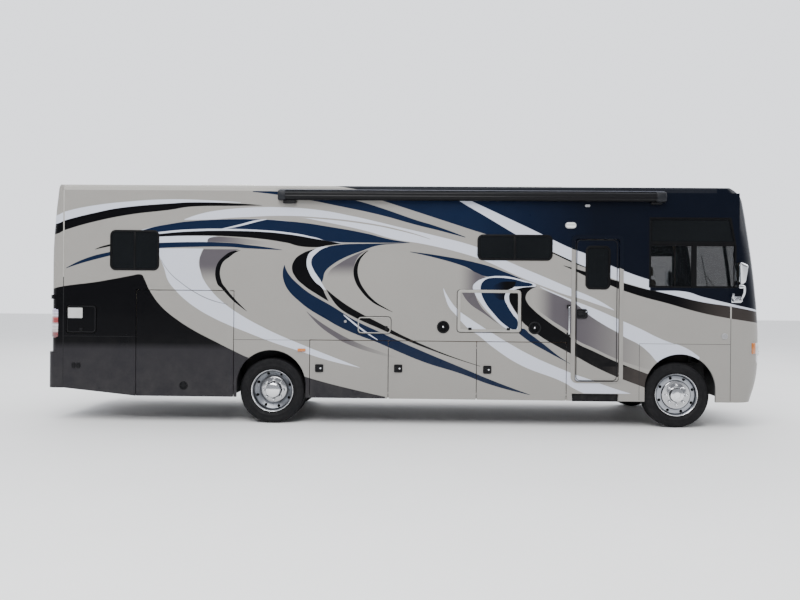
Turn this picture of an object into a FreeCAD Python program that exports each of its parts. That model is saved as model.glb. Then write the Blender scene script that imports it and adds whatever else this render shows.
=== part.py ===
import FreeCAD, Part
import math
import os
import re

import Sketcher

# A class A motorhome on a gas chassis, in millimetres.
# +X is forward, +Y is the driver's (left) side, +Z is up, and the origin is on the ground
# under the middle of the vehicle.

os.makedirs("parts", exist_ok=True)
doc = FreeCAD.newDocument("motorhome")
sheet = doc.addObject("Spreadsheet::Sheet", "sizes")

# Driving dimensions: name, value, meaning
SIZES = [
    ("front_reach", 5200, "origin to the nose"),
    ("rear_reach", 5200, "origin to the rear bumper"),
    ("body_width", 2565, "over the side walls"),
    ("wall_thick", 50, "laminated side wall"),
    ("wall_top", 3340, "top of the side walls and the flat ceiling"),
    ("roof_edge", 3420, "top of the roof's side radius"),
    ("roof_crown", 3450, "top of the roof on the centre line"),
    ("roof_radius", 40, "rounding of the roof's side edge"),
    ("floor_top", 1215, "coach floor above the ground"),
    ("floor_thick", 60, "coach floor panel"),
    ("skirt_bottom", 383, "lower edge of the skirts"),
    ("skirt_thick", 40, "moulded skirt panel"),
    ("rear_skirt_rise", 106, "how far the rear skirt's edge rises towards the tail"),
    ("seam_gap", 10, "running gap round doors and lids"),
    ("fit_gap", 0.3, "glass and lamps in their openings"),
    ("tail_depth", 283, "rear bumper behind the rear cap's seam"),
    ("rear_seam", "=rear_reach - tail_depth", "origin back to the rear cap's seam"),
    ("front_seam", 4613, "origin to the front cap's lower seam"),
    ("cab_seam", 4722, "origin to the front cap's upper seam"),
    ("roof_seam", 4400, "origin to the front cap's seam on the roof"),
    ("cab_seam_height", 1700, "height where the front cap's seam steps forward"),
    ("cap_thick", 45, "moulded front and rear caps"),
    ("nose_corner", 300, "plan radius of the front cap's corners"),
    ("nose_bow", 5000, "plan radius of the front"),
    ("nose_rake_base", 1300, "height where the nose begins to lean back"),
    ("nose_rake", 235, "lean of the nose up to its roll"),
    ("nose_roll_base", 3200, "height where the nose rolls into the roof"),
    ("nose_roll", 365, "depth of that roll"),
    ("nose_tuck_top", 900, "height where the nose tucks under"),
    ("nose_tuck", 116, "tuck at the lower edge"),
    ("tail_corner", 130, "plan radius of the rear cap's corners"),
    ("tail_bow", 16000, "plan radius of the tail"),
    ("tail_setback", 43, "rear cap's face ahead of the bumper's"),
    ("tail_lean_base", 2300, "height where the tail begins to lean forward"),
    ("tail_lean", 110, "lean of the tail at the roof"),
    ("tail_roll", 90, "rounding of the tail into the roof"),
    ("tail_bottom", 486, "lower edge of the rear cap"),
    ("bumper_top", 1005, "top of the moulded rear bumper"),
    ("tail_lip", 1795, "middle of the rear cap's cross moulding"),
    ("tail_lip_height", 60, "cross moulding"),
    ("tail_lip_depth", 30, "cross moulding"),
    ("lamp_bottom", 1205, "tail lamps"),
    ("lamp_height", 420, "tail lamps"),
    ("lamp_inset", 170, "tail lamps, inboard of the side"),
    ("headlamp_bottom", 935, "headlamps"),
    ("headlamp_height", 270, "headlamps"),
    ("headlamp_inboard", 740, "headlamps, inner end off the centre line"),
    ("headlamp_outboard", 1200, "headlamps, outer end"),
    ("grille_bottom", 520, "grille opening"),
    ("grille_height", 330, "grille opening"),
    ("grille_width", 1160, "grille opening"),
    ("grille_bar", 22, "grille bars"),
    ("grille_pitch", 55, "grille bars, one to the next"),
    ("screen_bottom", 1790, "windshield"),
    ("screen_top", 2990, "windshield"),
    ("screen_half", 1160, "windshield, outer end of each pane"),
    ("screen_post", 30, "windshield centre post"),
    ("screen_glass", 14, "windshield glass"),
    ("window_glass", 34, "side window unit"),
    ("bed_window_x", "=rear_seam - 680", "bed window's rear edge, behind the origin"),
    ("bed_window_length", 702, "bed window"),
    ("bed_window_bottom", 2191, "bed window"),
    ("bed_window_height", 569, "bed window"),
    ("mid_window_x", 1035, "dinette window's rear edge"),
    ("mid_window_length", 1057, "dinette window"),
    ("mid_window_bottom", 2373, "dinette window"),
    ("mid_window_height", 358, "dinette window"),
    ("window_round", 90, "corner radius of the coach windows"),
    ("cab_window_x", 3458, "cab window's rear edge"),
    ("cab_window_length", 1225, "cab window"),
    ("cab_window_bottom", 1998, "cab window"),
    ("cab_window_height", 997, "cab window"),
    ("cab_window_slant", 75, "cab window's raked front edge"),
    ("cab_window_round", 50, "corner radius of the cab window"),
    ("cab_rail_bottom", 594, "cab window's rail above its lower edge"),
    ("cab_rail", 62, "cab window's rail"),
    ("cab_post_x", 600, "cab window's post behind which the vent pane lies"),
    ("cab_post", 70, "cab window's post"),
    ("cab_frame", 28, "cab window's outer frame"),
    ("rear_panel_x", "=rear_seam - 1059", "origin back to the locker's rear seam"),
    ("locker_front", 2446, "origin back to the locker's front seam"),
    ("locker_top", 1906, "top of the tall locker"),
    ("bay_back", 1351, "origin back to the first luggage door's rear seam"),
    ("bay_first", 1126, "first luggage door"),
    ("bay_second", 1257, "second luggage door"),
    ("bay_third", 1274, "third luggage door"),
    ("fender_seam", 3332, "origin to the front fender's seam"),
    ("door_thick", 34, "luggage doors"),
    ("bin_depth", 740, "luggage bins, from the skirt's inner face"),
    ("bin_wall", 15, "luggage bins"),
    ("bin_bottom", 395, "luggage bins"),
    ("locker_depth", 640, "tall locker"),
    ("entry_x", 2367, "entry frame's rear edge"),
    ("entry_width", 735, "entry frame"),
    ("entry_bottom", 636, "entry frame"),
    ("entry_top", 2739, "entry frame"),
    ("entry_trim", 56, "entry frame's face"),
    ("entry_proud", 6, "entry frame outside the wall"),
    ("entry_round", 85, "corner radius of the entry frame"),
    ("entry_leaf", 40, "entry door"),
    ("stepwell_depth", 640, "entry stepwell"),
    ("stepwell_plate", 20, "entry stepwell"),
    ("door_window_x", 146, "entry door's window from the leaf's rear edge"),
    ("door_window_length", 340, "entry door's window"),
    ("door_window_bottom", 1972, "entry door's window"),
    ("door_window_height", 608, "entry door's window"),
    ("door_window_round", 72, "entry door's window"),
    ("step_x", 2395, "entry step's rear edge"),
    ("step_length", 640, "entry step"),
    ("step_bottom", 376, "entry step"),
    ("step_height", 100, "entry step's housing"),
    ("step_depth", 330, "entry step's tread"),
    ("tv_x", 745, "television lid's rear edge"),
    ("tv_length", 924, "television lid"),
    ("tv_bottom", 1334, "television lid"),
    ("tv_height", 617, "television lid"),
    ("tv_depth", 190, "television recess"),
    ("service_x", 666, "service lid's rear edge, behind the origin"),
    ("service_length", 483, "service lid"),
    ("service_bottom", 1302, "service lid"),
    ("service_height", 255, "service lid"),
    ("cord_x", "=rear_seam - 40", "cord hatch's rear edge, behind the origin"),
    ("cord_length", 445, "cord hatch"),
    ("cord_bottom", 1274, "cord hatch"),
    ("cord_height", 399, "cord hatch"),
    ("hatch_depth", 180, "small hatch boxes"),
    ("hinge_pin", 2, "radius of the door hinges' pins"),
    ("hinge_barrel", 3.5, "radius of the door hinges' knuckles"),
    ("hinge_length", 60, "door hinges"),
    ("hinge_knuckle", 15, "door hinges, each fixed knuckle"),
    ("hinge_inset", 55, "door hinges, in from the door's corners"),
    ("hinge_plate", 3, "straps that carry the luggage doors' hinges"),
    ("hinge_bite", 3, "how deep hinge leaves run into their door or wall"),
    ("lid_thick", 22, "small lids"),
    ("lid_round", 50, "corner radius of the small lids"),
    ("speaker_radius", 86, "outside speakers"),
    ("speaker_height", 1412, "outside speakers"),
    ("speaker_back_x", 554, "rear outside speaker"),
    ("speaker_front_x", 1853, "front outside speaker"),
    ("awning_x", 1811, "awning's rear end, behind the origin"),
    ("awning_length", 5480, "awning"),
    ("awning_bottom", 3196, "awning"),
    ("awning_height", 168, "awning"),
    ("awning_depth", 105, "awning"),
    ("slide_front", 3000, "slide-out's front edge"),
    ("slide_length", 3700, "slide-out room"),
    ("slide_bottom", 1260, "slide-out room's wall opening"),
    ("slide_top", 3140, "slide-out room's wall opening"),
    ("slide_depth", 760, "slide-out room"),
    ("slide_wall", 45, "slide-out room's panels"),
    ("slide_flange", 45, "slide-out's flange over the wall"),
    ("slide_clear", 12, "slide-out to the wall opening"),
    ("slide_window_length", 1300, "slide-out's window"),
    ("slide_window_height", 560, "slide-out's window"),
    ("slide_window_bottom", 2160, "slide-out's window"),
    ("wheel_base", 5791, "wheel base"),
    ("rear_axle_x", 1899, "rear axle, behind the origin"),
    ("tyre_radius", 470, "235/80R22.5 tyre"),
    ("tyre_width", 235, "235/80R22.5 tyre"),
    ("rim_radius", 303, "rim flange"),
    ("rim_half", 112, "half width over the rim flanges"),
    ("rim_thick", 14, "rim barrel and disc"),
    ("rim_inner", 262, "rim barrel's inner radius"),
    ("front_track", 2150, "front track"),
    ("rear_track", 1880, "rear track, between the twin wheels' middles"),
    ("twin_spacing", 320, "twin wheels, middle to middle"),
    ("disc_offset", 160, "wheel disc off the rim's middle"),
    ("hole_circle", 254, "hand holes"),
    ("hole_radius", 36, "hand holes"),
    ("stud_circle", 142, "wheel studs"),
    ("stud_radius", 22, "stud covers"),
    ("hub_radius", 100, "front hub"),
    ("rear_hub_radius", 109, "rear hub"),
    ("spindle_radius", 40, "front spindle"),
    ("axle_radius", 62, "rear axle tube's spindle"),
    ("bearing_gap", 0.05, "running clearance in the hubs"),
    ("arch_radius", 500, "wheel arches"),
    ("arch_top", 1060, "top of the wheel arches"),
    ("rear_arch_x", 1905, "rear arch's middle, behind the origin"),
    ("front_arch_x", 3910, "front arch's middle"),
    ("liner_gap", 24, "rear wheel liners, outside the arch's radius"),
    ("steer_gap", 85, "front wheel liners, outside the arch's radius"),
    ("liner_rise", 35, "wheel liners above the arch"),
    ("liner_thick", 10, "wheel liner"),
    ("liner_inner", 620, "wheel liner's inner end off the centre line"),
    ("king_pin_y", 900, "king pins off the centre line"),
    ("king_pin_radius", 18, "king pins"),
    ("knuckle_arm", 210, "steering arm behind the king pin"),
    ("rail_y", 431, "frame rails off the centre line"),
    ("rail_bottom", 640, "frame rails"),
    ("rail_height", 230, "frame rails"),
    ("rail_flange", 76, "frame rails"),
    ("rail_web", 8, "frame rails"),
    ("spring_length", 1350, "leaf springs"),
    ("spring_width", 72, "leaf springs"),
    ("spring_thick", 44, "leaf springs at the axle"),
    ("spring_drop", 52, "leaf springs, eyes above the seat"),
    ("cross_reach", 1000, "cross members ahead of and behind the rear axle"),
    ("mid_cross_x", 900, "middle cross member"),
    ("cab_cross_x", 2700, "cross member behind the gearbox"),
    ("cross_thick", 70, "cross members and risers"),
    ("engine_x", 3600, "engine's rear face"),
    ("engine_length", 780, "engine"),
    ("engine_width", 580, "engine"),
    ("engine_bottom", 600, "engine"),
    ("engine_height", 520, "engine"),
    ("gearbox_length", 620, "gearbox, behind the engine"),
    ("gearbox_radius", 170, "gearbox"),
    ("gearbox_height", 800, "gearbox's middle"),
    ("shaft_front_x", 2950, "drive shaft's front joint"),
    ("shaft_height", 700, "drive shaft's front joint"),
    ("shaft_radius", 42, "drive shaft"),
    ("yoke_radius", 62, "drive shaft's joints"),
    ("fuel_tank_x", "=rear_panel_x + 442", "fuel tank's rear end, behind the origin"),
    ("fuel_tank_length", 1100, "fuel tank"),
    ("fuel_tank_bottom", 500, "fuel tank"),
    ("holding_tank_x", 800, "holding tank's rear end, behind the origin"),
    ("holding_tank_length", 1650, "holding tank"),
    ("exhaust_x", 2850, "exhaust's rear end, behind the origin"),
    ("exhaust_length", 6300, "exhaust pipe"),
    ("exhaust_radius", 32, "exhaust pipe"),
    ("muffler_x", 350, "muffler's rear end, behind the origin"),
    ("muffler_length", 1000, "muffler"),
    ("muffler_radius", 115, "muffler"),
    ("dash_top", 1760, "dashboard"),
    ("dash_width", 2240, "dashboard"),
    ("steering_x", 4340, "steering wheel's middle"),
    ("steering_height", 1856, "steering wheel's middle"),
    ("steering_radius", 215, "steering wheel"),
    ("steering_grip", 15, "steering wheel's rim"),
    ("seat_x", 3700, "cab seats, rear edge of the cushions"),
    ("seat_y", 620, "cab seats off the centre line"),
    ("seat_length", 500, "cab seats"),
    ("seat_width", 520, "cab seats"),
    ("seat_rise", 255, "cab seats' pedestals"),
    ("seat_thick", 175, "cab seats' cushions"),
    ("seat_back_height", 820, "cab seats' backs"),
    ("ladder_y", 820, "ladder off the centre line"),
    ("ladder_width", 330, "ladder"),
    ("ladder_bottom", 1125, "ladder"),
    ("ladder_height", 2200, "ladder"),
    ("rung_pitch", 310, "ladder's rungs"),
    ("roof_unit_length", 980, "roof air conditioners"),
    ("roof_unit_width", 640, "roof air conditioners"),
    ("roof_unit_height", 135, "roof air conditioners"),
    ("roof_vent_width", 400, "roof vents"),
    ("roof_vent_height", 70, "roof vents"),
    ("mirror_x", 4690, "mirror heads' middle"),
    ("mirror_y", 1452, "mirror heads' middle off the centre line"),
    ("mirror_bottom", 1993, "mirror heads"),
    ("mirror_height", 382, "mirror heads"),
    ("mirror_width", 230, "mirror heads"),
    ("mirror_deep", 150, "mirror heads"),
    ("receiver_bore", 51, "tow receiver's square opening"),
    ("receiver_height", 446, "tow receiver's middle"),
    ("receiver_pin", 8.1, "radius of the tow receiver's pin hole"),
    ("receiver_pin_x", 62, "pin hole in front of the receiver's mouth"),
]

for row, (alias, value, meaning) in enumerate(SIZES, start=1):
    sheet.set(f"A{row}", str(value))
    sheet.set(f"B{row}", meaning)
    sheet.setAlias(f"A{row}", alias)
doc.recompute()

NAMES = {alias for alias, value, meaning in SIZES}
NODES = []


def size(alias):
    """A driving dimension as a number."""
    return float(sheet.get(alias))


def link(text):
    """An expression on the sheet's aliases, as FreeCAD reads it."""
    return re.sub(r"[a-z_]+", lambda word: "sizes." + word.group(0) if word.group(0) in NAMES else word.group(0),
                  str(text))


def bind(thing, prop, text):
    thing.setExpression(prop, link(text))


def place(thing, x, y, z):
    """Bind an object's position to three expressions."""
    for axis, text in zip("xyz", (x, y, z)):
        bind(thing, f"Placement.Base.{axis}", text)


def box(name, x, y, z):
    """A box between two corners: x, y and z are each a (low, high) pair of expressions."""
    thing = doc.addObject("Part::Box", name)
    place(thing, x[0], y[0], z[0])
    for prop, (low, high) in zip(("Length", "Width", "Height"), (x, y, z)):
        bind(thing, prop, f"({high}) - ({low})")
    return thing


TURNS = {
    "x": FreeCAD.Rotation(FreeCAD.Vector(0, 1, 0), 90),
    "y": FreeCAD.Rotation(FreeCAD.Vector(1, 0, 0), -90),
    "z": FreeCAD.Rotation(),
}


def rod(name, axis, start, length, radius):
    """A cylinder from a start point along +axis."""
    thing = doc.addObject("Part::Cylinder", name)
    thing.Placement = FreeCAD.Placement(FreeCAD.Vector(), TURNS[axis])
    place(thing, *start)
    bind(thing, "Height", length)
    bind(thing, "Radius", radius)
    return thing


def fuse(name, *parts):
    thing = doc.addObject("Part::MultiFuse", name)
    thing.Shapes = list(parts)
    return thing


def gather(name, *parts):
    """Like pieces that share a node and don't touch."""
    thing = doc.addObject("Part::Compound", name)
    thing.Links = list(parts)
    return thing


def cut(name, base, *tools):
    thing = doc.addObject("Part::Cut", name)
    thing.Base = base
    thing.Tool = tools[0] if len(tools) == 1 else fuse(name + "_tools", *tools)
    return thing


def rounded_box(name, x, y, z, axis, radius):
    """A box whose four edges along one axis are rounded."""
    base = box(name + "_block", x, y, z)
    doc.recompute()
    way = {"x": FreeCAD.Vector(1, 0, 0), "y": FreeCAD.Vector(0, 1, 0), "z": FreeCAD.Vector(0, 0, 1)}[axis]
    picked = []
    for number, edge in enumerate(base.Shape.Edges, start=1):
        if abs(edge.tangentAt(edge.FirstParameter).dot(way)) > 0.99:
            picked.append((number, evaluate(radius), evaluate(radius)))
    thing = doc.addObject("Part::Fillet", name)
    thing.Base = base
    thing.Edges = picked
    return thing


# Planes for sketched bodies: how a sketch's own x, y and pad direction lie in the vehicle
FACES = {
    "xz": FreeCAD.Rotation(FreeCAD.Vector(1, 0, 0), 90),
    "yz": FreeCAD.Rotation(FreeCAD.Vector(1, 1, 1), 120),
    "xy": FreeCAD.Rotation(),
}


def sketch_polygon(name, face, points):
    """A PartDesign body with a closed sketch whose corners are bound to expressions."""
    body = doc.addObject("PartDesign::Body", name)
    body.Placement = FreeCAD.Placement(FreeCAD.Vector(), FACES[face])
    sketch = body.newObject("Sketcher::SketchObject", name + "_sketch")
    plane = [feature for feature in body.Origin.OriginFeatures if feature.Role == "XY_Plane"][0]
    sketch.AttachmentSupport = (plane, [""])
    sketch.MapMode = "FlatFace"
    values = [(evaluate(across), evaluate(up)) for across, up in points]
    count = len(points)
    for index in range(count):
        start = values[index]
        end = values[(index + 1) % count]
        sketch.addGeometry(Part.LineSegment(FreeCAD.Vector(*start, 0), FreeCAD.Vector(*end, 0)))
    for index in range(count):
        sketch.addConstraint(Sketcher.Constraint("Coincident", index, 2, (index + 1) % count, 1))
    for index, (across, up) in enumerate(points):
        for kind, text, number, axis in (("DistanceX", across, values[index][0], -2),
                                         ("DistanceY", up, values[index][1], -1)):
            if text == "0":
                sketch.addConstraint(Sketcher.Constraint("PointOnObject", index, 1, axis))
                continue
            place_in = sketch.addConstraint(Sketcher.Constraint(kind, -1, 1, index, 1, number))
            sketch.setExpression(f"Constraints[{place_in}]", link(text))
    return body, sketch


def evaluate(text):
    """The present value of an expression on the sheet's aliases."""
    return float(sheet.evalExpression(link(text)))


def prism(name, face, points, start, length):
    """A sketched outline padded from a start plane: -Y for face xz, +X for yz, +Z for xy."""
    body, sketch = sketch_polygon(name, face, points)
    pad = body.newObject("PartDesign::Pad", name + "_pad")
    pad.Profile = sketch
    bind(pad, "Length", length)
    bind(body, {"xz": "Placement.Base.y", "yz": "Placement.Base.x", "xy": "Placement.Base.z"}[face], start)
    return body


def turned(name, points, x, z):
    """A profile of (y, radius) points turned about a line along Y through (x, z)."""
    body, sketch = sketch_polygon(name, "yz", points)
    spin = body.newObject("PartDesign::Revolution", name + "_turn")
    spin.Profile = sketch
    spin.ReferenceAxis = (sketch, ["H_Axis"])
    spin.Angle = 360
    bind(body, "Placement.Base.x", x)
    bind(body, "Placement.Base.z", z)
    return body


def shape_node(name, shape):
    """A shape worked out from the sheet's values where no feature fits."""
    thing = doc.addObject("Part::Feature", name)
    thing.Shape = shape
    thing.Placement = FreeCAD.Placement()
    return thing


def node(name, thing):
    """Name a finished sub-part."""
    thing.Label = name
    NODES.append(thing)
    return thing



HALF = "body_width / 2"
SIGN = {"right": -1, "left": 1}


def side_span(side, outer, inner):
    """A (low, high) pair in Y from distances inboard of the side's outer face."""
    if side == "right":
        return (f"-({HALF}) + {outer}", f"-({HALF}) + {inner}")
    return (f"{HALF} - ({inner})", f"{HALF} - ({outer})")


# Moulded caps: their plan outline at a height, and the reach of nose and tail at that height


def nose_reach(height):
    """Centre-line X of the front cap: tucked below, raked above, rolled into the roof."""
    reach = size("front_reach")
    if height < size("nose_tuck_top"):
        share = (size("nose_tuck_top") - height) / (size("nose_tuck_top") - size("skirt_bottom"))
        return reach - size("nose_tuck") * share ** 1.5
    if height > size("nose_rake_base"):
        share = (height - size("nose_rake_base")) / (size("nose_roll_base") - size("nose_rake_base"))
        reach -= size("nose_rake") * min(share, 1.0) ** 1.57
    if height > size("nose_roll_base"):
        share = (height - size("nose_roll_base")) / (size("roof_crown") - size("nose_roll_base"))
        reach -= size("nose_roll") * (1 - math.sqrt(1 - min(share, 1.0) ** 2))
    return reach


def tail_reach(height):
    """Distance back to the rear cap's face: upright below, leaning and rolled at the top."""
    reach = size("rear_reach") - size("tail_setback")
    if height > size("tail_lean_base"):
        share = (height - size("tail_lean_base")) / (size("roof_crown") - size("tail_lean_base"))
        reach -= size("tail_lean") * share ** 2
    roll_base = size("roof_crown") - size("tail_roll")
    if height > roll_base:
        share = (height - roll_base) / size("tail_roll")
        reach -= size("tail_roll") * (1 - math.sqrt(1 - min(share, 1.0) ** 2))
    return reach


def plan_wire(height, back, reach, half, corner, bow):
    """Closed outline in plan: a straight back, two sides, two corner arcs and a bowed face."""
    corner_x = reach - bow + math.sqrt((bow - corner) ** 2 - (half - corner) ** 2)
    lean = math.atan2(half - corner, corner_x - (reach - bow))
    middle = (lean + math.pi / 2) / 2
    rounds = []
    for sign in (-1, 1):
        side_point = FreeCAD.Vector(corner_x, sign * half, height)
        mid_point = FreeCAD.Vector(corner_x + corner * math.cos(middle),
                                   sign * (half - corner + corner * math.sin(middle)), height)
        face_point = FreeCAD.Vector(corner_x + corner * math.cos(lean),
                                    sign * (half - corner + corner * math.sin(lean)), height)
        rounds.append((side_point, mid_point, face_point))
    right, left = rounds
    back_right = FreeCAD.Vector(back, -half, height)
    back_left = FreeCAD.Vector(back, half, height)
    edges = [Part.LineSegment(back_right, right[0]).toShape(),
             Part.Arc(*right).toShape(),
             Part.Arc(right[2], FreeCAD.Vector(reach, 0, height), left[2]).toShape(),
             Part.Arc(left[2], left[1], left[0]).toShape(),
             Part.LineSegment(left[0], back_left).toShape(),
             Part.LineSegment(back_left, back_right).toShape()]
    return Part.Wire(edges)


def lofted(levels, back, reach_at, half, corner, bow, ruled=False):
    """A solid through plan outlines; the corner shrinks where the outline gets short."""
    wires = []
    for height in levels:
        reach = reach_at(height)
        room = reach - (half ** 2) / (2 * bow) - back
        wires.append(plan_wire(height, back, reach, half, min(corner, 0.8 * room), bow))
    return Part.makeLoft(wires, True, ruled)


def roof_prism(back, front, inset):
    """The vehicle's cross-section from below the skirts to the crowned roof, run along X."""
    half = size("body_width") / 2 - inset
    edge = size("roof_edge") - inset
    crown = size("roof_crown") - inset
    radius = size("roof_radius")
    slope = radius * (1 - math.sqrt(0.5))
    low = 0.0
    points = [FreeCAD.Vector(back, y, z) for y, z in (
        (-half, low), (half, low), (half, edge - radius), (half - slope, edge - slope),
        (half - radius, edge), (0, crown), (radius - half, edge), (slope - half, edge - slope),
        (-half, edge - radius))]
    edges = [Part.LineSegment(points[0], points[1]).toShape(),
             Part.LineSegment(points[1], points[2]).toShape(),
             Part.Arc(points[2], points[3], points[4]).toShape(),
             Part.Arc(points[4], points[5], points[6]).toShape(),
             Part.Arc(points[6], points[7], points[8]).toShape(),
             Part.LineSegment(points[8], points[0]).toShape()]
    return Part.Face(Part.Wire(edges)).extrude(FreeCAD.Vector(front - back, 0, 0))


def span_box(x, y, z):
    """A plain box between number pairs, for cutting the moulded caps."""
    return Part.makeBox(x[1] - x[0], y[1] - y[0], z[1] - z[0], FreeCAD.Vector(x[0], y[0], z[0]))


def soft_prism(x, y, z, radius):
    """A box with its four edges along X rounded."""
    block = span_box(x, y, z)
    edges = [edge for edge in block.Edges if abs(edge.tangentAt(edge.FirstParameter).x) > 0.99]
    return block.makeFillet(radius, edges)


NOSE_LEVELS = ["skirt_bottom", "skirt_bottom + 150", "nose_tuck_top - 180", "nose_tuck_top + 80",
               "nose_rake_base + 150", "nose_rake_base + 700", "nose_rake_base + 1250",
               "nose_rake_base + 1650", "nose_roll_base", "nose_roll_base + 100",
               "nose_roll_base + 180", "roof_crown - 30", "roof_crown - 6"]
TAIL_LEVELS = ["tail_bottom", "tail_lean_base", "tail_lean_base + 200", "tail_lean_base + 400",
               "tail_lean_base + 600", "tail_lean_base + 800", "roof_crown - tail_roll",
               "roof_crown - tail_roll * 0.75", "roof_crown - tail_roll * 0.5",
               "roof_crown - tail_roll * 0.3",
               "roof_crown - tail_roll * 0.15", "roof_crown - 4"]


def front_shells():
    """Outer and inner forms of the front cap, and the thin form that glass is cut from."""
    half = size("body_width") / 2
    thick = size("cap_thick")
    back = size("roof_seam")
    levels = [evaluate(level) for level in NOSE_LEVELS]
    corner = size("nose_corner")
    bow = size("nose_bow")
    outer = lofted(levels, back, nose_reach, half, corner, bow)
    outer = outer.common(roof_prism(back - 10, size("front_reach") + 10, 0))
    forms = [outer]
    for inset in (thick, size("screen_glass")):
        inner_levels = [level for level in levels if level < size("wall_top")] + [size("wall_top")]
        inner_levels[0] -= 20
        forms.append(lofted(inner_levels, back - 20, lambda height: nose_reach(height) - inset,
                            half - inset, corner - inset, bow - inset))
    return forms


def front_parts():
    """Front cap with its openings, windshield panes, headlamps and grille blocks."""
    outer, inner, glass_inner = front_shells()
    half = size("body_width") / 2
    far = size("front_reach") + 50
    seam = size("roof_seam")
    behind = span_box((seam - 30, size("cab_seam")), (-half - 20, half + 20),
                      (size("cab_seam_height"), size("wall_top")))
    lower = span_box((seam - 30, size("front_seam")), (-half - 20, half + 20),
                     (size("skirt_bottom") - 60, size("cab_seam_height")))
    shell = outer.cut([inner, behind, lower])
    fit = size("fit_gap")
    reach = (size("cab_seam") + 20, far)
    panes = []
    cuts = []
    thin = outer.cut(glass_inner)
    for sign in (-1, 1):
        ends = sorted((sign * size("screen_post") / 2, sign * size("screen_half")))
        rise = (size("screen_bottom"), size("screen_top"))
        cuts.append(soft_prism(reach, ends, rise, 90))
        pane = soft_prism(reach, (ends[0] + fit, ends[1] - fit), (rise[0] + fit, rise[1] - fit), 90)
        panes.append(thin.common(pane))
    lamps = []
    for sign in (-1, 1):
        ends = sorted((sign * size("headlamp_inboard"), sign * size("headlamp_outboard")))
        rise = (size("headlamp_bottom"), size("headlamp_bottom") + size("headlamp_height"))
        cuts.append(soft_prism(reach, ends, rise, 60))
        lamp = soft_prism(reach, (ends[0] + fit, ends[1] - fit), (rise[0] + fit, rise[1] - fit), 60)
        lamps.append(shell.common(lamp))
    wide = size("grille_width") / 2
    rise = (size("grille_bottom"), size("grille_bottom") + size("grille_height"))
    opening = soft_prism(reach, (-wide, wide), rise, 50)
    cuts.append(opening)
    frame = shell.common(soft_prism(reach, (fit - wide, wide - fit), (rise[0] + fit, rise[1] - fit), 50))
    hole = soft_prism(reach, (30 - wide, wide - 30), (rise[0] + 30, rise[1] - 30), 25)
    bars = []
    level = rise[0] + size("grille_pitch")
    while level < rise[1] - size("grille_bar"):
        bars.append(frame.common(span_box(reach, (-wide, wide), (level, level + size("grille_bar")))))
        level += size("grille_pitch")
    grille = frame.cut(hole).fuse(bars).removeSplitter()
    return shell.cut(cuts), panes, lamps, grille


def rear_parts():
    """Rear cap with its bumper and cross moulding, and the tail lamps in its corners."""
    half = size("body_width") / 2
    thick = size("cap_thick")
    seam = size("rear_seam")
    corner = size("tail_corner")
    bow = size("tail_bow")
    levels = [evaluate(level) for level in TAIL_LEVELS]
    main = lofted(levels, seam, tail_reach, half, corner, bow, True)
    bumper = lofted([size("tail_bottom"), size("bumper_top")], seam, lambda height: size("rear_reach"),
                    half, corner, bow)
    lip_base = size("tail_lip") - size("tail_lip_height") / 2
    lip = lofted([lip_base, lip_base + size("tail_lip_height")],
                 size("rear_reach") - size("tail_setback") - 200,
                 lambda height: tail_reach(height) + size("tail_lip_depth"), half, corner, bow)
    outer = main.fuse([bumper, lip])
    inner_levels = [level for level in levels if level < size("wall_top")] + [size("wall_top")]
    inner_levels[0] -= 20
    inner = lofted(inner_levels, seam - 20, lambda height: tail_reach(height) - thick,
                   half - thick, corner - thick, bow - thick, True)
    turn = FreeCAD.Placement(FreeCAD.Vector(), FreeCAD.Rotation(FreeCAD.Vector(0, 0, 1), 180))
    shell = outer.cut(inner)
    shell.Placement = turn
    shell = shell.common(roof_prism(-size("rear_reach") - 60, -seam + 1, 0))
    fit = size("fit_gap")
    lamps = []
    for sign in (-1, 1):
        ends = sorted((sign * (half - size("lamp_inset")), sign * (half + 20)))
        rise = (size("lamp_bottom"), size("lamp_bottom") + size("lamp_height"))
        back = (-size("rear_reach") - 60, -size("rear_reach") + size("tail_setback") + corner)
        lamps.append(shell.common(span_box((back[0], back[1] - fit), (ends[0] + fit, ends[1] - fit),
                                           (rise[0] + fit, rise[1] - fit))))
        shell = shell.cut(span_box(back, ends, rise))
    return shell, lamps


# Moulded ends
front_shell, screen_panes, headlamp_shapes, grille_shape = front_parts()
node("front_cap", shape_node("front_cap_form", front_shell))
node("windshield", shape_node("windshield_form", Part.makeCompound(screen_panes)))
node("headlamps", shape_node("headlamps_form", Part.makeCompound(headlamp_shapes)))
node("grille", shape_node("grille_form", grille_shape))
rear_shell, tail_shapes = rear_parts()
node("rear_cap", shape_node("rear_cap_form", rear_shell))
node("tail_lamps", shape_node("tail_lamps_form", Part.makeCompound(tail_shapes)))


# Coach body


def pocket(name, side, x, z, radius, outer="-30", inner="wall_thick + 30"):
    """A rounded cutter through a side wall."""
    return rounded_box(name, x, side_span(side, outer, inner), z, "y", radius)


def cab_outline(grow):
    """Cab window outline with its raked front edge, larger all round by grow."""
    low = f"cab_window_bottom - ({grow})"
    high = f"cab_window_bottom + cab_window_height + ({grow})"
    back = f"cab_window_x - ({grow})"
    front = f"cab_window_x + cab_window_length + ({grow})"
    return [(back, low), (front, low), (front, f"{low} + cab_rail_bottom"),
            (f"{front} - cab_window_slant", high), (back, high)]


def start_plane(side, inboard):
    """Y where a plate begins, padded towards -Y, so that it ends at the outer face on the right."""
    if side == "right":
        return f"-({HALF}) + {inboard}"
    return HALF


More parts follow.
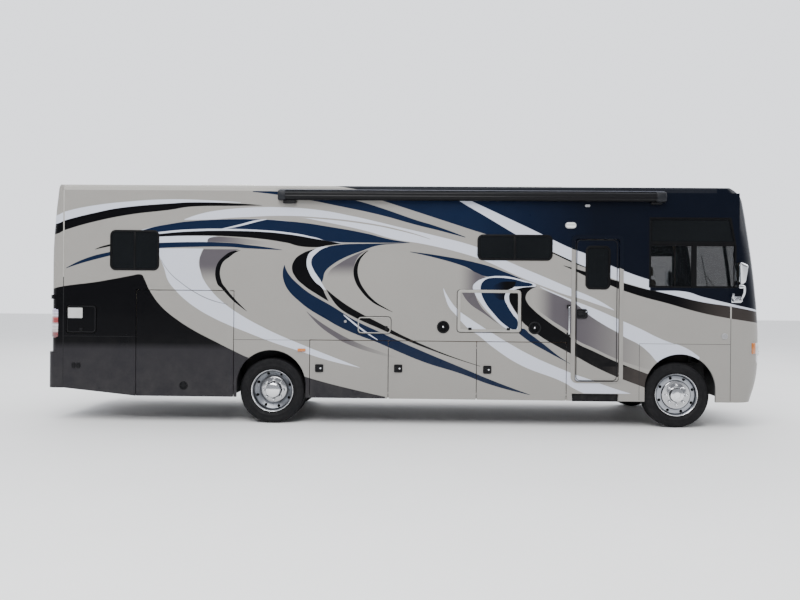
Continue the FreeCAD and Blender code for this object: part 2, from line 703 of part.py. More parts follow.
WINDOWS = [("bed", "-bed_window_x", "bed_window_length", "bed_window_bottom", "bed_window_height"),
           ("mid", "mid_window_x", "mid_window_length", "mid_window_bottom", "mid_window_height")]
BAY_SEAMS = ["-bay_back", "-bay_back + bay_first", "-bay_back + bay_first + bay_second",
             "-bay_back + bay_first + bay_second + bay_third"]
LIDS = [("tv", "tv_x", "tv_length", "tv_bottom", "tv_height", "tv_depth"),
        ("service", "-service_x", "service_length", "service_bottom", "service_height", "hatch_depth"),
        ("cord", "-cord_x", "cord_length", "cord_bottom", "cord_height", "hatch_depth")]


def hinge_line(name, side, axis, across, along, way, strap="edge"):
    """Two hinges on one line in a seam.

    The axis runs along z or x through the point across in the side's outer face, and the door lies way
    (+1 or -1) of it. Returns the body's knuckles with their pins, the door's eyes and the eyes' bores.
    """
    face = side_span(side, "0", "0")[0]
    reach = f"{way} * (seam_gap / 2 + hinge_bite)"

    def lay(run, other):
        return (other, run) if axis == "z" else (run, other)

    def barrel(label, start, length, radius):
        x, z = lay(start, across)
        return rod(f"{name}_{label}", axis, (x, face, z), length, radius)

    def plate(label, run, ends, depth):
        x, z = lay(run, tuple(sorted(ends, key=evaluate)))
        return box(f"{name}_{label}", x, side_span(side, *depth), z)

    fixed = []
    eyes = []
    bores = []
    for number, start in enumerate((f"{along[0]} + hinge_inset", f"{along[1]} - hinge_inset - hinge_length")):
        fixed.append(barrel(f"pin{number}", start, "hinge_length", "hinge_pin"))
        for end, low in (("a", start), ("b", f"{start} + hinge_length - hinge_knuckle")):
            run = (low, f"{low} + hinge_knuckle")
            fixed.append(barrel(f"knuckle{number}{end}", low, "hinge_knuckle", "hinge_barrel"))
            if strap == "edge":
                fixed.append(plate(f"strap{number}{end}", run, (across, f"{across} - {reach}"),
                                   ("0", "hinge_barrel")))
            else:
                fixed.append(plate(f"strap{number}{end}", run,
                                   (f"{across} - hinge_plate / 2", f"{across} + hinge_plate / 2"),
                                   ("0", "skirt_thick + hinge_bite")))
        low = f"{start} + hinge_knuckle + fit_gap"
        length = "hinge_length - 2 * (hinge_knuckle + fit_gap)"
        eyes.append(barrel(f"eye{number}", low, length, "hinge_barrel"))
        eyes.append(plate(f"leaf{number}", (low, f"{low} + {length}"), (across, f"{across} + {reach}"),
                          ("0", "hinge_barrel")))
        bores.append(barrel(f"bore{number}", start, "hinge_length", "hinge_pin + bearing_gap"))
    return fixed, eyes, bores


def hung(name, leaf, eyes, bores):
    """A door with its hinge eyes."""
    return cut(name + "_hung", fuse(name + "_eyed", leaf, *eyes), *bores)


def door_hinges():
    """Hinges of every door and lid, by the door's node name."""
    hinges = {}
    for index in (1, 2, 3):
        for side in ("right", "left"):
            name = f"bay_door_{side}_{index}"
            hinges[name] = hinge_line(name + "_hinge", side, "z", BAY_SEAMS[index],
                                      ("skirt_bottom", "floor_top - seam_gap"), -1, "inward")
    span = ("-rear_panel_x + seam_gap / 2", "-locker_front - seam_gap / 2")
    hinges["locker_door"] = hinge_line("locker_hinge", "right", "x", "locker_top", span, -1)
    hinges["utility_door"] = hinge_line("utility_hinge", "left", "x", "floor_top - seam_gap / 2", span, -1)
    for label, x, length, bottom, height, depth in LIDS:
        if label == "service":
            hinges["service_lid"] = hinge_line("service_hinge", "right", "z", f"{x} + seam_gap / 2",
                                               (f"{bottom} + seam_gap", f"{bottom} + {height} - seam_gap"), 1)
        else:
            hinges[label + "_lid"] = hinge_line(label + "_hinge", "right", "x",
                                                f"{bottom} + {height} - seam_gap / 2",
                                                (f"{x} + seam_gap", f"{x} + {length} - seam_gap"), -1)
    hinges["entry_door"] = hinge_line("entry_hinge", "right", "z",
                                      "entry_x + entry_width - entry_trim - seam_gap / 2",
                                      ("entry_bottom + entry_trim / 3 + seam_gap",
                                       "entry_top - entry_trim - seam_gap"), -1)
    return hinges


DOOR_HINGES = door_hinges()


def side_wall(side):
    """Laminated wall above the floor line, forward to the cap's stepped seam, with its openings."""
    name = "wall_" + side
    outline = [("-rear_seam", "floor_top"), ("front_seam", "floor_top"), ("front_seam", "cab_seam_height"),
               ("cab_seam", "cab_seam_height"), ("cab_seam", "wall_top"), ("-rear_seam", "wall_top")]
    if side == "right":
        foot_back = f"{BAY_SEAMS[3]} + seam_gap / 2"
        foot = [("-rear_seam", "floor_top"), (foot_back, "floor_top"), (foot_back, "skirt_bottom"),
                ("fender_seam", "skirt_bottom"), ("fender_seam", "floor_top")]
        outline = foot + outline[1:]
    plate = prism(name + "_plate", "xz", outline, start_plane(side, "wall_thick"), "wall_thick")
    tools = []
    for label, x, length, bottom, height in WINDOWS:
        if side == "left" and label == "mid":
            continue
        tools.append(pocket(f"{name}_{label}_hole", side, (x, f"{x} + {length}"),
                            (bottom, f"{bottom} + {height}"), "window_round"))
    tools.append(prism(name + "_cab_hole", "xz", cab_outline("0"), start_plane(side, "wall_thick") + " + 30",
                       "wall_thick + 60"))
    if side == "right":
        tools.append(pocket(name + "_entry_hole", side, ("entry_x", "entry_x + entry_width"),
                            ("entry_bottom", "entry_top"), "entry_round"))
        tools.append(box(name + "_locker_hole",
                         ("-rear_panel_x - seam_gap / 2", "-locker_front + seam_gap / 2"),
                         side_span(side, "-30", "wall_thick + 30"),
                         ("floor_top - 30", "locker_top + seam_gap / 2")))
        tools.append(box(name + "_step_hole", ("step_x - seam_gap", "step_x + step_length + seam_gap"),
                         side_span(side, "-30", "wall_thick + 30"),
                         ("skirt_bottom - 30", "step_bottom + step_height + seam_gap")))
        for label, x, length, bottom, height, depth in LIDS:
            tools.append(pocket(f"{name}_{label}_hole", side, (x, f"{x} + {length}"),
                                (bottom, f"{bottom} + {height}"), "lid_round"))
        for label in ("speaker_back_x", "speaker_front_x"):
            tools.append(rod(f"{name}_{label}_hole", "y", (label, f"-({HALF}) - 30", "speaker_height"),
                             "wall_thick + 60", "speaker_radius + fit_gap"))
    else:
        tools.append(box(name + "_slide_hole", ("slide_front - slide_length", "slide_front"),
                         side_span(side, "-30", "wall_thick + 30"), ("slide_bottom", "slide_top")))
    doors_here = ("locker_door", "tv_lid", "service_lid",
                  "cord_lid") if side == "right" else ("utility_door",)
    knuckles = [piece for door in doors_here for piece in DOOR_HINGES[door][0]]
    return node(name, fuse(name + "_hinged", cut(name + "_body", plate, *tools), *knuckles))


def roof():
    """Crowned roof with rounded side edges over a flat ceiling."""
    profile = roof_prism(-size("rear_seam"), size("roof_seam"), 0)
    half = size("body_width") / 2 + 10
    below = span_box((-size("rear_seam") - 10, size("roof_seam") + 10), (-half, half),
                     (-10, size("wall_top")))
    return node("roof", shape_node("roof_form", profile.cut(below)))


def bin_floor_y(side):
    return side_span(side, "skirt_thick", "skirt_thick + bin_depth")


def coach_floor():
    """Floor panel with the stepwell's notch and the tall locker's notch."""
    slab = box("floor_slab", ("-rear_seam", "front_seam"),
               (f"-({HALF}) + skirt_thick", f"{HALF} - skirt_thick"),
               ("floor_top - floor_thick", "floor_top"))
    well = box("floor_stepwell", ("entry_x", "entry_x + entry_width"),
               side_span("right", "0", "wall_thick + stepwell_depth"),
               ("floor_top - 2 * floor_thick", "floor_top + 20"))
    locker = box("floor_locker", ("-rear_panel_x", "-locker_front"),
                 side_span("right", "0", "skirt_thick + locker_depth"),
                 ("floor_top - 2 * floor_thick", "floor_top + 20"))
    foot = box("floor_foot", (BAY_SEAMS[3], "fender_seam"), side_span("right", "0", "wall_thick"),
               ("floor_top - 2 * floor_thick", "floor_top + 20"))
    runners = [box(f"slide_runner_{number}", (x, f"{x} + 60"),
                   (f"{HALF} - slide_depth", f"{HALF} - wall_thick"),
                   ("floor_top", "slide_bottom + slide_clear - fit_gap"))
               for number, x in enumerate(("slide_front - slide_length + 500", "slide_front - 560"))]
    return node("coach_floor", fuse("floor_body", cut("floor_open", slab, well, locker, foot), *runners))


def arch_cutter(name, side, middle):
    """A wheel arch: a half round over straight sides, through the skirt."""
    span = side_span(side, "-20", "skirt_thick + 20")
    top = rod(name + "_round", "y", (middle, span[0], "arch_top - arch_radius"), "skirt_thick + 40",
              "arch_radius")
    low = box(name + "_low", (f"{middle} - arch_radius", f"{middle} + arch_radius"), span,
              ("skirt_bottom - 20", "arch_top - arch_radius"))
    return top, low


def skirts(side):
    """Moulded skirts below the floor line: tail, rear arch and front fender panels."""
    name = "skirts_" + side
    start = start_plane(side, "skirt_thick")
    tail = prism(name + "_tail", "xz",
                 [("-rear_seam", "skirt_bottom + rear_skirt_rise"),
                  ("-rear_panel_x - seam_gap / 2", "skirt_bottom"),
                  ("-rear_panel_x - seam_gap / 2", "floor_top"), ("-rear_seam", "floor_top")],
                 start, "skirt_thick")
    middle = box(name + "_middle", ("-locker_front + seam_gap / 2", "-bay_back - seam_gap / 2"),
                 side_span(side, "0", "skirt_thick"), ("skirt_bottom", "floor_top"))
    arch = cut(name + "_arch", middle, *arch_cutter(name + "_rear", side, "-rear_arch_x"))
    front = box(name + "_front", ("fender_seam", "front_seam"), side_span(side, "0", "skirt_thick"),
                ("skirt_bottom", "floor_top"))
    fender = cut(name + "_fender", front, *arch_cutter(name + "_front_arch", side, "front_arch_x"))
    pieces = [tail, arch, fender]
    if side == "left":
        pieces.append(box(name + "_entry", (f"{BAY_SEAMS[3]} + seam_gap / 2", "fender_seam - 2"),
                          side_span(side, "0", "skirt_thick"), ("skirt_bottom", "floor_top")))
    return node(name, gather(name + "_group", *pieces))


def wheel_liners():
    """Round-topped liners inside the four arches, wider in front where the wheels steer."""
    pieces = []
    for side in ("right", "left"):
        for label, middle, gap in (("rear", "-rear_arch_x", "liner_gap"),
                                   ("front", "front_arch_x", "steer_gap")):
            name = f"liner_{side}_{label}"
            span = side_span(side, "skirt_thick", f"{HALF} - liner_inner")
            reach = f"arch_radius + {gap}"
            outer = rounded_box(name + "_outer",
                                (f"{middle} - ({reach}) - liner_thick", f"{middle} + {reach} + liner_thick"),
                                span, ("skirt_bottom - 500", "arch_top + liner_rise + liner_thick"), "y",
                                "arch_radius * 0.55 + liner_thick")
            inner = rounded_box(name + "_inner", (f"{middle} - ({reach})", f"{middle} + {reach}"),
                                (f"{span[0]} - 10", f"{span[1]} + 10"),
                                ("skirt_bottom - 600", "arch_top + liner_rise"), "y",
                                "arch_radius * 0.55")
            low = box(name + "_low", (f"{middle} - 2 * arch_radius", f"{middle} + 2 * arch_radius"),
                      (f"{span[0]} - 10", f"{span[1]} + 10"), ("skirt_bottom - 700", "skirt_bottom + 60"))
            foot = box(name + "_foot", (f"{middle} - 2 * arch_radius",
                                        "fender_seam" if label == "front" else f"{middle} - arch_radius * 1.5"),
                       side_span(side, "0", "wall_thick"), ("skirt_bottom", "floor_top"))
            pieces.append(cut(name, outer, inner, low, foot))
    return node("wheel_liners", gather("liner_group", *pieces))


def luggage_bins(side):
    """Open-sided bins behind the luggage doors, hung under the floor, and the rear locker's tub."""
    name = "bins_" + side
    top = "floor_top - floor_thick"
    back = BAY_SEAMS[0]
    front = BAY_SEAMS[3]
    shell = box(name + "_shell", (f"{back} + seam_gap", f"{front} + hinge_plate / 2"), bin_floor_y(side),
                ("bin_bottom", top))
    tools = []
    for index in range(3):
        low = f"{BAY_SEAMS[index]} + seam_gap + bin_wall"
        high = f"{BAY_SEAMS[index + 1]} - seam_gap - bin_wall"
        tools.append(box(f"{name}_bay{index}", (low, high),
                         side_span(side, "skirt_thick - 20", "skirt_thick + bin_depth - bin_wall"),
                         ("bin_bottom + bin_wall", f"{top} - bin_wall")))
    straps = [piece for index in (1, 2, 3) for piece in DOOR_HINGES[f"bay_door_{side}_{index}"][0]]
    bays = fuse(name + "_bays", cut(name + "_open_bays", shell, *tools), *straps)
    locker_top = "locker_top - 10" if side == "right" else top
    tub = box(name + "_tub", ("-rear_panel_x", "-locker_front - 2 * bin_wall"),
              side_span(side, "wall_thick", "skirt_thick + locker_depth"), ("bin_bottom", locker_top))
    hollow = box(name + "_tub_hollow", ("-rear_panel_x + bin_wall", "-locker_front - 3 * bin_wall"),
                 side_span(side, "0", "skirt_thick + locker_depth - bin_wall"),
                 ("bin_bottom + bin_wall", f"{locker_top} - bin_wall"))
    pieces = [bays, cut(name + "_locker", tub, hollow)]
    if side == "right":
        pieces += hatch_boxes()
    return node(name, gather(name + "_group", *pieces))


def hatch_boxes():
    """Boxes behind the small lids, butted to the wall's inner face."""
    pieces = []
    for label, x, length, bottom, height, depth in LIDS:
        name = label + "_box"
        outer = box(name + "_outer", (f"{x} - bin_wall", f"{x} + {length} + bin_wall"),
                    side_span("right", "wall_thick", depth),
                    (f"{bottom} - bin_wall", f"{bottom} + {height} + bin_wall"))
        inner = box(name + "_inner", (x, f"{x} + {length}"), side_span("right", "0", f"{depth} - bin_wall"),
                    (bottom, f"{bottom} + {height}"))
        pieces.append(cut(name, outer, inner))
    return pieces


for wall_side in ("right", "left"):
    side_wall(wall_side)
    skirts(wall_side)
    luggage_bins(wall_side)
roof()
coach_floor()
wheel_liners()

# Glass


def coach_panes():
    """Dark panes of the coach windows, flush in the walls."""
    pieces = []
    gap = "fit_gap"
    for side in ("right", "left"):
        for label, x, length, bottom, height in WINDOWS:
            if side == "left" and label == "mid":
                continue
            pieces.append(rounded_box(f"{label}_pane_{side}", (f"{x} + {gap}", f"{x} + {length} - {gap}"),
                                      side_span(side, "0", "window_glass"),
                                      (f"{bottom} + {gap}", f"{bottom} + {height} - {gap}"), "y",
                                      "window_round"))
    return pieces


def cab_windows():
    """Cab side windows: a frame with a rail and a post, and the panes inside it."""
    frames = []
    panes = []
    for side in ("right", "left"):
        start = start_plane(side, "window_glass")
        name = "cab_frame_" + side
        ring = prism(name + "_ring", "xz", cab_outline("-fit_gap"), start, "window_glass")
        hole = prism(name + "_hole", "xz", cab_outline("-cab_frame"), f"{start} + 10", "window_glass + 20")
        rail = box(name + "_rail", ("cab_window_x + cab_frame / 2",
                                    "cab_window_x + cab_window_length - cab_frame / 2"),
                   side_span(side, "4", "window_glass - 4"),
                   ("cab_window_bottom + cab_rail_bottom", "cab_window_bottom + cab_rail_bottom + cab_rail"))
        post = box(name + "_post", ("cab_window_x + cab_post_x", "cab_window_x + cab_post_x + cab_post"),
                   side_span(side, "4", "window_glass - 4"),
                   ("cab_window_bottom + cab_frame / 2", "cab_window_bottom + cab_rail_bottom + 10"))
        frame = fuse(name, cut(name + "_open", ring, hole), rail, post)
        frames.append(frame)
        glass = prism(f"cab_glass_{side}", "xz", cab_outline("-cab_frame - fit_gap"),
                      f"{start} - 12" , "8")
        gaps = [box(f"cab_glass_{side}_rail", ("cab_window_x", "cab_window_x + cab_window_length"),
                    side_span(side, "-10", "wall_thick"),
                    ("cab_window_bottom + cab_rail_bottom - fit_gap",
                     "cab_window_bottom + cab_rail_bottom + cab_rail + fit_gap")),
                box(f"cab_glass_{side}_post", ("cab_window_x + cab_post_x - fit_gap",
                                               "cab_window_x + cab_post_x + cab_post + fit_gap"),
                    side_span(side, "-10", "wall_thick"),
                    ("cab_window_bottom - 10", "cab_window_bottom + cab_rail_bottom + 10"))]
        panes.append(cut(f"cab_panes_{side}", glass, *gaps))
    node("cab_window_frames", gather("cab_frame_group", *frames))
    return panes


node("side_windows", gather("window_group", *coach_panes(), *cab_windows()))

# Entry


def entry():
    """Entry frame with its stepwell, and the door with its window."""
    ring = rounded_box("entry_ring", ("entry_x + fit_gap", "entry_x + entry_width - fit_gap"),
                       side_span("right", "-entry_proud", "wall_thick"),
                       ("entry_bottom + fit_gap", "entry_top - fit_gap"), "y", "entry_round")
    hole = rounded_box("entry_ring_hole", ("entry_x + entry_trim", "entry_x + entry_width - entry_trim"),
                       side_span("right", "-20", "wall_thick + 20"),
                       ("entry_bottom + entry_trim / 3", "entry_top - entry_trim"), "y", "entry_round / 2")
    frame = cut("entry_frame_body", ring, hole)
    inside = f"-({HALF}) + wall_thick"
    tread = "stepwell_depth / 2"
    rise = "(floor_top + entry_bottom) / 2"
    profile = [(inside, "entry_bottom - stepwell_plate"),
               (f"{inside} + {tread}", "entry_bottom - stepwell_plate"),
               (f"{inside} + {tread}", f"{rise} - stepwell_plate"),
               (f"{inside} + stepwell_depth", f"{rise} - stepwell_plate"),
               (f"{inside} + stepwell_depth", "floor_top"),
               (f"{inside} + stepwell_depth - stepwell_plate", "floor_top"),
               (f"{inside} + stepwell_depth - stepwell_plate", rise),
               (f"{inside} + {tread} - stepwell_plate", rise),
               (f"{inside} + {tread} - stepwell_plate", "entry_bottom"), (inside, "entry_bottom")]
    treads = prism("stepwell_treads", "yz", profile, "entry_x", "entry_width")
    cheeks = []
    for label, x in (("back", ("entry_x", "entry_x + stepwell_plate")),
                     ("front", ("entry_x + entry_width - stepwell_plate", "entry_x + entry_width"))):
        cheeks.append(box("stepwell_" + label, x,
                          side_span("right", "wall_thick", "wall_thick + stepwell_depth"),
                          ("entry_bottom - stepwell_plate", "floor_top")))
    for label, x in (("back", "step_x + 60"), ("front", "step_x + step_length - 90")):
        cheeks.append(box("step_runner_" + label, (x, f"{x} + 30"),
                          side_span("right", "wall_thick", "wall_thick + step_depth"),
                          ("step_bottom + step_height + fit_gap", "entry_bottom - stepwell_plate")))
    node("entry_frame", fuse("entry_frame_and_well", frame, treads, *cheeks, *DOOR_HINGES["entry_door"][0]))
    left = "entry_x + entry_trim + seam_gap"
    right = "entry_x + entry_width - entry_trim - seam_gap"
    low = "entry_bottom + entry_trim / 3 + seam_gap"
    high = "entry_top - entry_trim - seam_gap"
    leaf = rounded_box("entry_leaf", (left, right), side_span("right", "0", "entry_leaf"), (low, high), "y",
                       "entry_round / 2")
    x = (f"{left} + door_window_x", f"{left} + door_window_x + door_window_length")
    z = ("door_window_bottom", "door_window_bottom + door_window_height")
    opening = rounded_box("entry_leaf_hole", x, side_span("right", "-20", "entry_leaf + 20"), z, "y",
                          "door_window_round")
    node("entry_door", hung("entry_door", cut("entry_door_body", leaf, opening),
                            *DOOR_HINGES["entry_door"][1:]))
    pane = rounded_box("entry_pane", (f"{x[0]} + fit_gap", f"{x[1]} - fit_gap"),
                       side_span("right", "2", "entry_leaf - 6"), (f"{z[0]} + fit_gap", f"{z[1]} - fit_gap"),
                       "y",
                       "door_window_round")
    node("entry_door_window", pane)
    housing_inner = side_span("right", "12", "12 + step_depth")
    tread_plate = box("step_tread", ("step_x", "step_x + step_length"), housing_inner,
                      ("step_bottom + step_height - 30", "step_bottom + step_height"))
    lip = box("step_lip", ("step_x", "step_x + step_length"), side_span("right", "12", "42"),
              ("step_bottom", "step_bottom + step_height"))
    node("entry_step", fuse("entry_step_body", tread_plate, lip))


entry()

# Luggage doors and lids


def flat_door(name, side, x, z, thick, radius):
    """A flush door with rounded corners on its hinges."""
    leaf = rounded_box(name + "_leaf", x, side_span(side, "0", thick), z, "y", radius)
    return node(name, hung(name, leaf, *DOOR_HINGES[name][1:]))


def doors():
    """Side-hinged luggage doors, the tall locker door, the left service door and the small lids."""
    half_gap = "seam_gap / 2"
    low_door = ("skirt_bottom", "floor_top - seam_gap")
    for index in range(3):
        x = (f"{BAY_SEAMS[index]} + {half_gap}", f"{BAY_SEAMS[index + 1]} - {half_gap}")
        for side in ("right", "left"):
            flat_door(f"bay_door_{side}_{index + 1}", side, x, low_door, "door_thick", "lid_round / 4")
    x = (f"-rear_panel_x + {half_gap}", f"-locker_front - {half_gap}")
    flat_door("locker_door", "right", x, ("skirt_bottom", f"locker_top - {half_gap}"), "door_thick",
              "lid_round / 4")
    flat_door("utility_door", "left", x, low_door, "door_thick", "lid_round / 4")
    for label, x, length, bottom, height, depth in LIDS:
        flat_door(label + "_lid", "right", (f"{x} + seam_gap", f"{x} + {length} - seam_gap"),
                  (f"{bottom} + seam_gap", f"{bottom} + {height} - seam_gap"), "lid_thick",
                  "lid_round - seam_gap")


doors()


def slide_out():
    """Slide-out room: a floor, roof and ends behind a flanged outer wall with a window."""
    low = "slide_front - slide_length + slide_clear"
    high = "slide_front - slide_clear"
    bottom = "slide_bottom + slide_clear"
    top = "slide_top - slide_clear"
    depth = f"{HALF} - slide_depth"
    shell = box("slide_shell", (low, high), (depth, HALF), (bottom, top))
    hollow = box("slide_hollow", (f"{low} + slide_wall", f"{high} - slide_wall"),
                 (f"{depth} - 20", f"{HALF} - slide_wall / 2"),
                 (f"{bottom} + slide_wall", f"{top} - slide_wall"))
    room = cut("slide_room", shell, hollow)
    fascia = rounded_box("slide_fascia", (f"slide_front - slide_length - slide_flange",
                                          "slide_front + slide_flange"),
                         (f"{HALF} + 5.5", f"{HALF} + 30"),
                         ("slide_bottom - slide_flange + 12", "slide_top + slide_flange"),
                         "y", "lid_round")
    plug = box("slide_plug", (low, high), (f"{HALF} - slide_wall / 2", f"{HALF} + 10"), (bottom, top))
    wall = fuse("slide_outer", room, fascia, plug)
    middle = "slide_front - slide_length / 2"
    x = (f"{middle} - slide_window_length / 2", f"{middle} + slide_window_length / 2")
    z = ("slide_window_bottom", "slide_window_bottom + slide_window_height")
    opening = rounded_box("slide_opening", x, (f"{HALF} - slide_wall - 20", f"{HALF} + 60"), z, "y",
                          "window_round")
    node("slideout_room", cut("slideout_body", wall, opening))
    node("slideout_window", rounded_box("slide_pane", (f"{x[0]} + fit_gap", f"{x[1]} - fit_gap"),
                                        (f"{HALF} - 10", f"{HALF} + 28"),
                                        (f"{z[0]} + fit_gap", f"{z[1]} - fit_gap"),
                                        "y", "window_round"))


slide_out()

# Chassis

RAIL_TOP = "rail_bottom + rail_height"
FLOOR_UNDER = "floor_top - floor_thick"
WEB_TO_WEB = ("-rail_y - rail_flange / 2 + rail_web", "rail_y + rail_flange / 2 - rail_web")
OVER_RAILS = ("-rail_y - rail_flange / 2", "rail_y + rail_flange / 2")
CROSS_PLACES = ["-rear_seam + 3 * cross_thick", "-rear_panel_x + cross_thick", "-rear_axle_x - cross_reach",
                "-rear_axle_x + cross_reach", "mid_cross_x", "cab_cross_x"]
FRONT_X = "wheel_base - rear_axle_x"
REAR_X = "-rear_axle_x"
SEATS = {"front": "tyre_radius + 55", "rear": "tyre_radius + 78"}


def chassis():
    """C-section rails, cross members, risers under the floor and the tow receiver."""
    parts = []
    for side, sign in (("right", "-"), ("left", "")):
        outer = (f"{sign}rail_y - rail_flange / 2", f"{sign}rail_y + rail_flange / 2")
        rail = box("rail_" + side, ("-rear_seam + 20", "front_seam"), outer, ("rail_bottom", RAIL_TOP))
        if side == "right":
            hollow = (f"{outer[0]} + rail_web", f"{outer[1]} + 20")
        else:
            hollow = (f"{outer[0]} - 20", f"{outer[1]} - rail_web")
        channel = box("rail_channel_" + side, ("-rear_seam - 20", "front_seam + 20"), hollow,
                      ("rail_bottom + rail_web", f"{RAIL_TOP} - rail_web"))
        parts.append(cut("rail_body_" + side, rail, channel))
    for number, x in enumerate(CROSS_PLACES):
        parts.append(box(f"cross_{number}", (x, f"{x} + cross_thick"), WEB_TO_WEB,
                         ("rail_bottom + 120", f"{RAIL_TOP} - 20")))
    for number, x in enumerate(CROSS_PLACES + ["front_seam - 2 * cross_thick"]):
        parts.append(box(f"riser_{number}", (x, f"{x} + cross_thick"), OVER_RAILS, (RAIL_TOP, FLOOR_UNDER)))
    parts.append(box("front_cross", ("front_seam - 60", "front_seam"), WEB_TO_WEB,
                     ("rail_bottom + 20", f"{RAIL_TOP} - 20")))
    tube = box("receiver", ("-rear_reach + 40", "-rear_seam + 260"),
               ("-receiver_bore / 2 - 6", "receiver_bore / 2 + 6"),
               ("receiver_height - receiver_bore / 2 - 6", "receiver_height + receiver_bore / 2 + 6"))
    bore = box("receiver_bore_hole", ("-rear_reach - 20", "-rear_reach + 300"),
               ("-receiver_bore / 2", "receiver_bore / 2"),
               ("receiver_height - receiver_bore / 2", "receiver_height + receiver_bore / 2"))
    beam = box("receiver_beam", ("-rear_seam + 40", "-rear_seam + 120"), OVER_RAILS,
               ("receiver_height - 30", "rail_bottom"))
    pin = rod("receiver_pin_hole", "y", ("-rear_reach + 40 + receiver_pin_x", "-receiver_bore",
                                         "receiver_height"),
              "2 * receiver_bore", "receiver_pin")
    parts.append(cut("receiver_tube", fuse("receiver_solid", tube, beam), bore, pin))
    return node("chassis_frame", fuse("chassis_body", *parts))


def leaf_springs():
    """Leaf packs under the rails, bowed between their hangers."""
    pieces = []
    for side, y in (("right", "-rail_y"), ("left", "rail_y")):
        for label, x in (("front", FRONT_X), ("rear", REAR_X)):
            name = f"spring_{label}_{side}"
            half = "spring_length / 2"
            low = SEATS[label]
            eye = f"{low} + spring_drop"
            profile = [(f"{x} - {half}", eye), (f"{x} - {half} / 2", f"{low} + spring_drop / 4"),
                       (f"{x} - 70", low), (f"{x} + 70", low),
                       (f"{x} + {half} / 2", f"{low} + spring_drop / 4"),
                       (f"{x} + {half}", eye), (f"{x} + {half}", f"{eye} + 14"),
                       (f"{x} + {half} / 2", f"{low} + spring_drop / 4 + spring_thick * 0.6"),
                       (f"{x} + 70", f"{low} + spring_thick"), (f"{x} - 70", f"{low} + spring_thick"),
                       (f"{x} - {half} / 2", f"{low} + spring_drop / 4 + spring_thick * 0.6"),
                       (f"{x} - {half}", f"{eye} + 14")]
            pack = prism(name + "_pack", "xz", profile, f"{y} + spring_width / 2", "spring_width")
            hangers = [box(f"{name}_hanger{number}", (f"{x} + {place_x} - 35", f"{x} + {place_x} + 35"),
                           (f"{y} - spring_width / 2", f"{y} + spring_width / 2"), (eye, "rail_bottom"))
                       for number, place_x in enumerate((f"-1 * {half}", half))]
            pieces.append(fuse(name, pack, *hangers))
    return node("leaf_springs", gather("spring_group", *pieces))


def front_axle():
    """Dropped I-beam with bored ends for the king pins and pads for the springs."""
    beam = box("axle_beam", (f"{FRONT_X} - 40", f"{FRONT_X} + 40"), ("-king_pin_y + 120", "king_pin_y - 120"),
               ("tyre_radius - 80", "tyre_radius - 5"))
    parts = [beam]
    bores = []
    for side, sign in (("right", "-"), ("left", "")):
        y = f"{sign}king_pin_y"
        inner = sorted((f"{sign}king_pin_y", f"{sign}(king_pin_y - 160)"), key=evaluate)
        parts.append(box("axle_end_" + side, (f"{FRONT_X} - 40", f"{FRONT_X} + 40"), tuple(inner),
                         ("tyre_radius - 60", "tyre_radius + 50")))
        parts.append(rod("axle_boss_" + side, "z", (FRONT_X, y, "tyre_radius - 60"), "120", "42"))
        bores.append(rod("axle_bore_" + side, "z", (FRONT_X, y, "tyre_radius - 80"), "160",
                         "king_pin_radius + bearing_gap"))
        parts.append(box("spring_pad_" + side, (f"{FRONT_X} - 60", f"{FRONT_X} + 60"),
                         (f"{sign}rail_y - spring_width / 2", f"{sign}rail_y + spring_width / 2"),
                         ("tyre_radius - 10", SEATS["front"])))
    return node("front_axle", cut("front_axle_body", fuse("front_axle_solid", *parts), *bores))


def knuckle(side):
    """Steering knuckle: a yoke on the king pin, the spindle, and the arm to the tie rod."""
    sign = "-" if side == "right" else ""
    name = "knuckle_" + side
    y = f"{sign}king_pin_y"

    def span(low, high):
        ends = sorted((f"{sign}(king_pin_y + {low})", f"{sign}(king_pin_y + {high})"), key=evaluate)
        return tuple(ends)

    width = (f"{FRONT_X} - 45", f"{FRONT_X} + 45")
    parts = [box(name + "_top", width, span("-45", "80"), ("tyre_radius + 66", "tyre_radius + 94")),
             box(name + "_low", width, span("-45", "80"), ("tyre_radius - 94", "tyre_radius - 66")),
             box(name + "_web", width, span("50", "80"), ("tyre_radius - 94", "tyre_radius + 94")),
             rod(name + "_pin", "z", (FRONT_X, y, "tyre_radius - 80"), "160", "king_pin_radius"),
             rod(name + "_spindle", "y", (FRONT_X, span("70", "70 + 150")[0], "tyre_radius"), "150",
                 "spindle_radius")]
    arm = box(name + "_arm", (f"{FRONT_X} - knuckle_arm - 26", f"{FRONT_X} - 40"), span("-28", "28"),
              ("tyre_radius - 94", "tyre_radius - 68"))
    ball = rod(name + "_ball", "z", (f"{FRONT_X} - knuckle_arm", y, "tyre_radius - 94 - 45"), "50", "11")
    parts += [arm, ball]
    return node(name, fuse(name + "_body", *parts))


def tie_rod():
    """Tie rod between the steering arms: bored eyes on a tube."""
    x = f"{FRONT_X} - knuckle_arm"
    low = "tyre_radius - 94 - 40"
    parts = [rod("tie_tube", "y", (x, "-king_pin_y", f"{low} + 15"), "2 * king_pin_y", "16")]
    bores = []
    for side, sign in (("right", "-"), ("left", "")):
        y = f"{sign}king_pin_y"
        parts.append(rod("tie_eye_" + side, "z", (x, y, low), "34", "26"))
        clearance = "bearing_gap" if side == "left" else "2"
        bores.append(rod("tie_bore_" + side, "z", (x, y, f"{low} - 10"), "60", f"11 + {clearance}"))
    return node("tie_rod", cut("tie_rod_body", fuse("tie_solid", *parts), *bores))


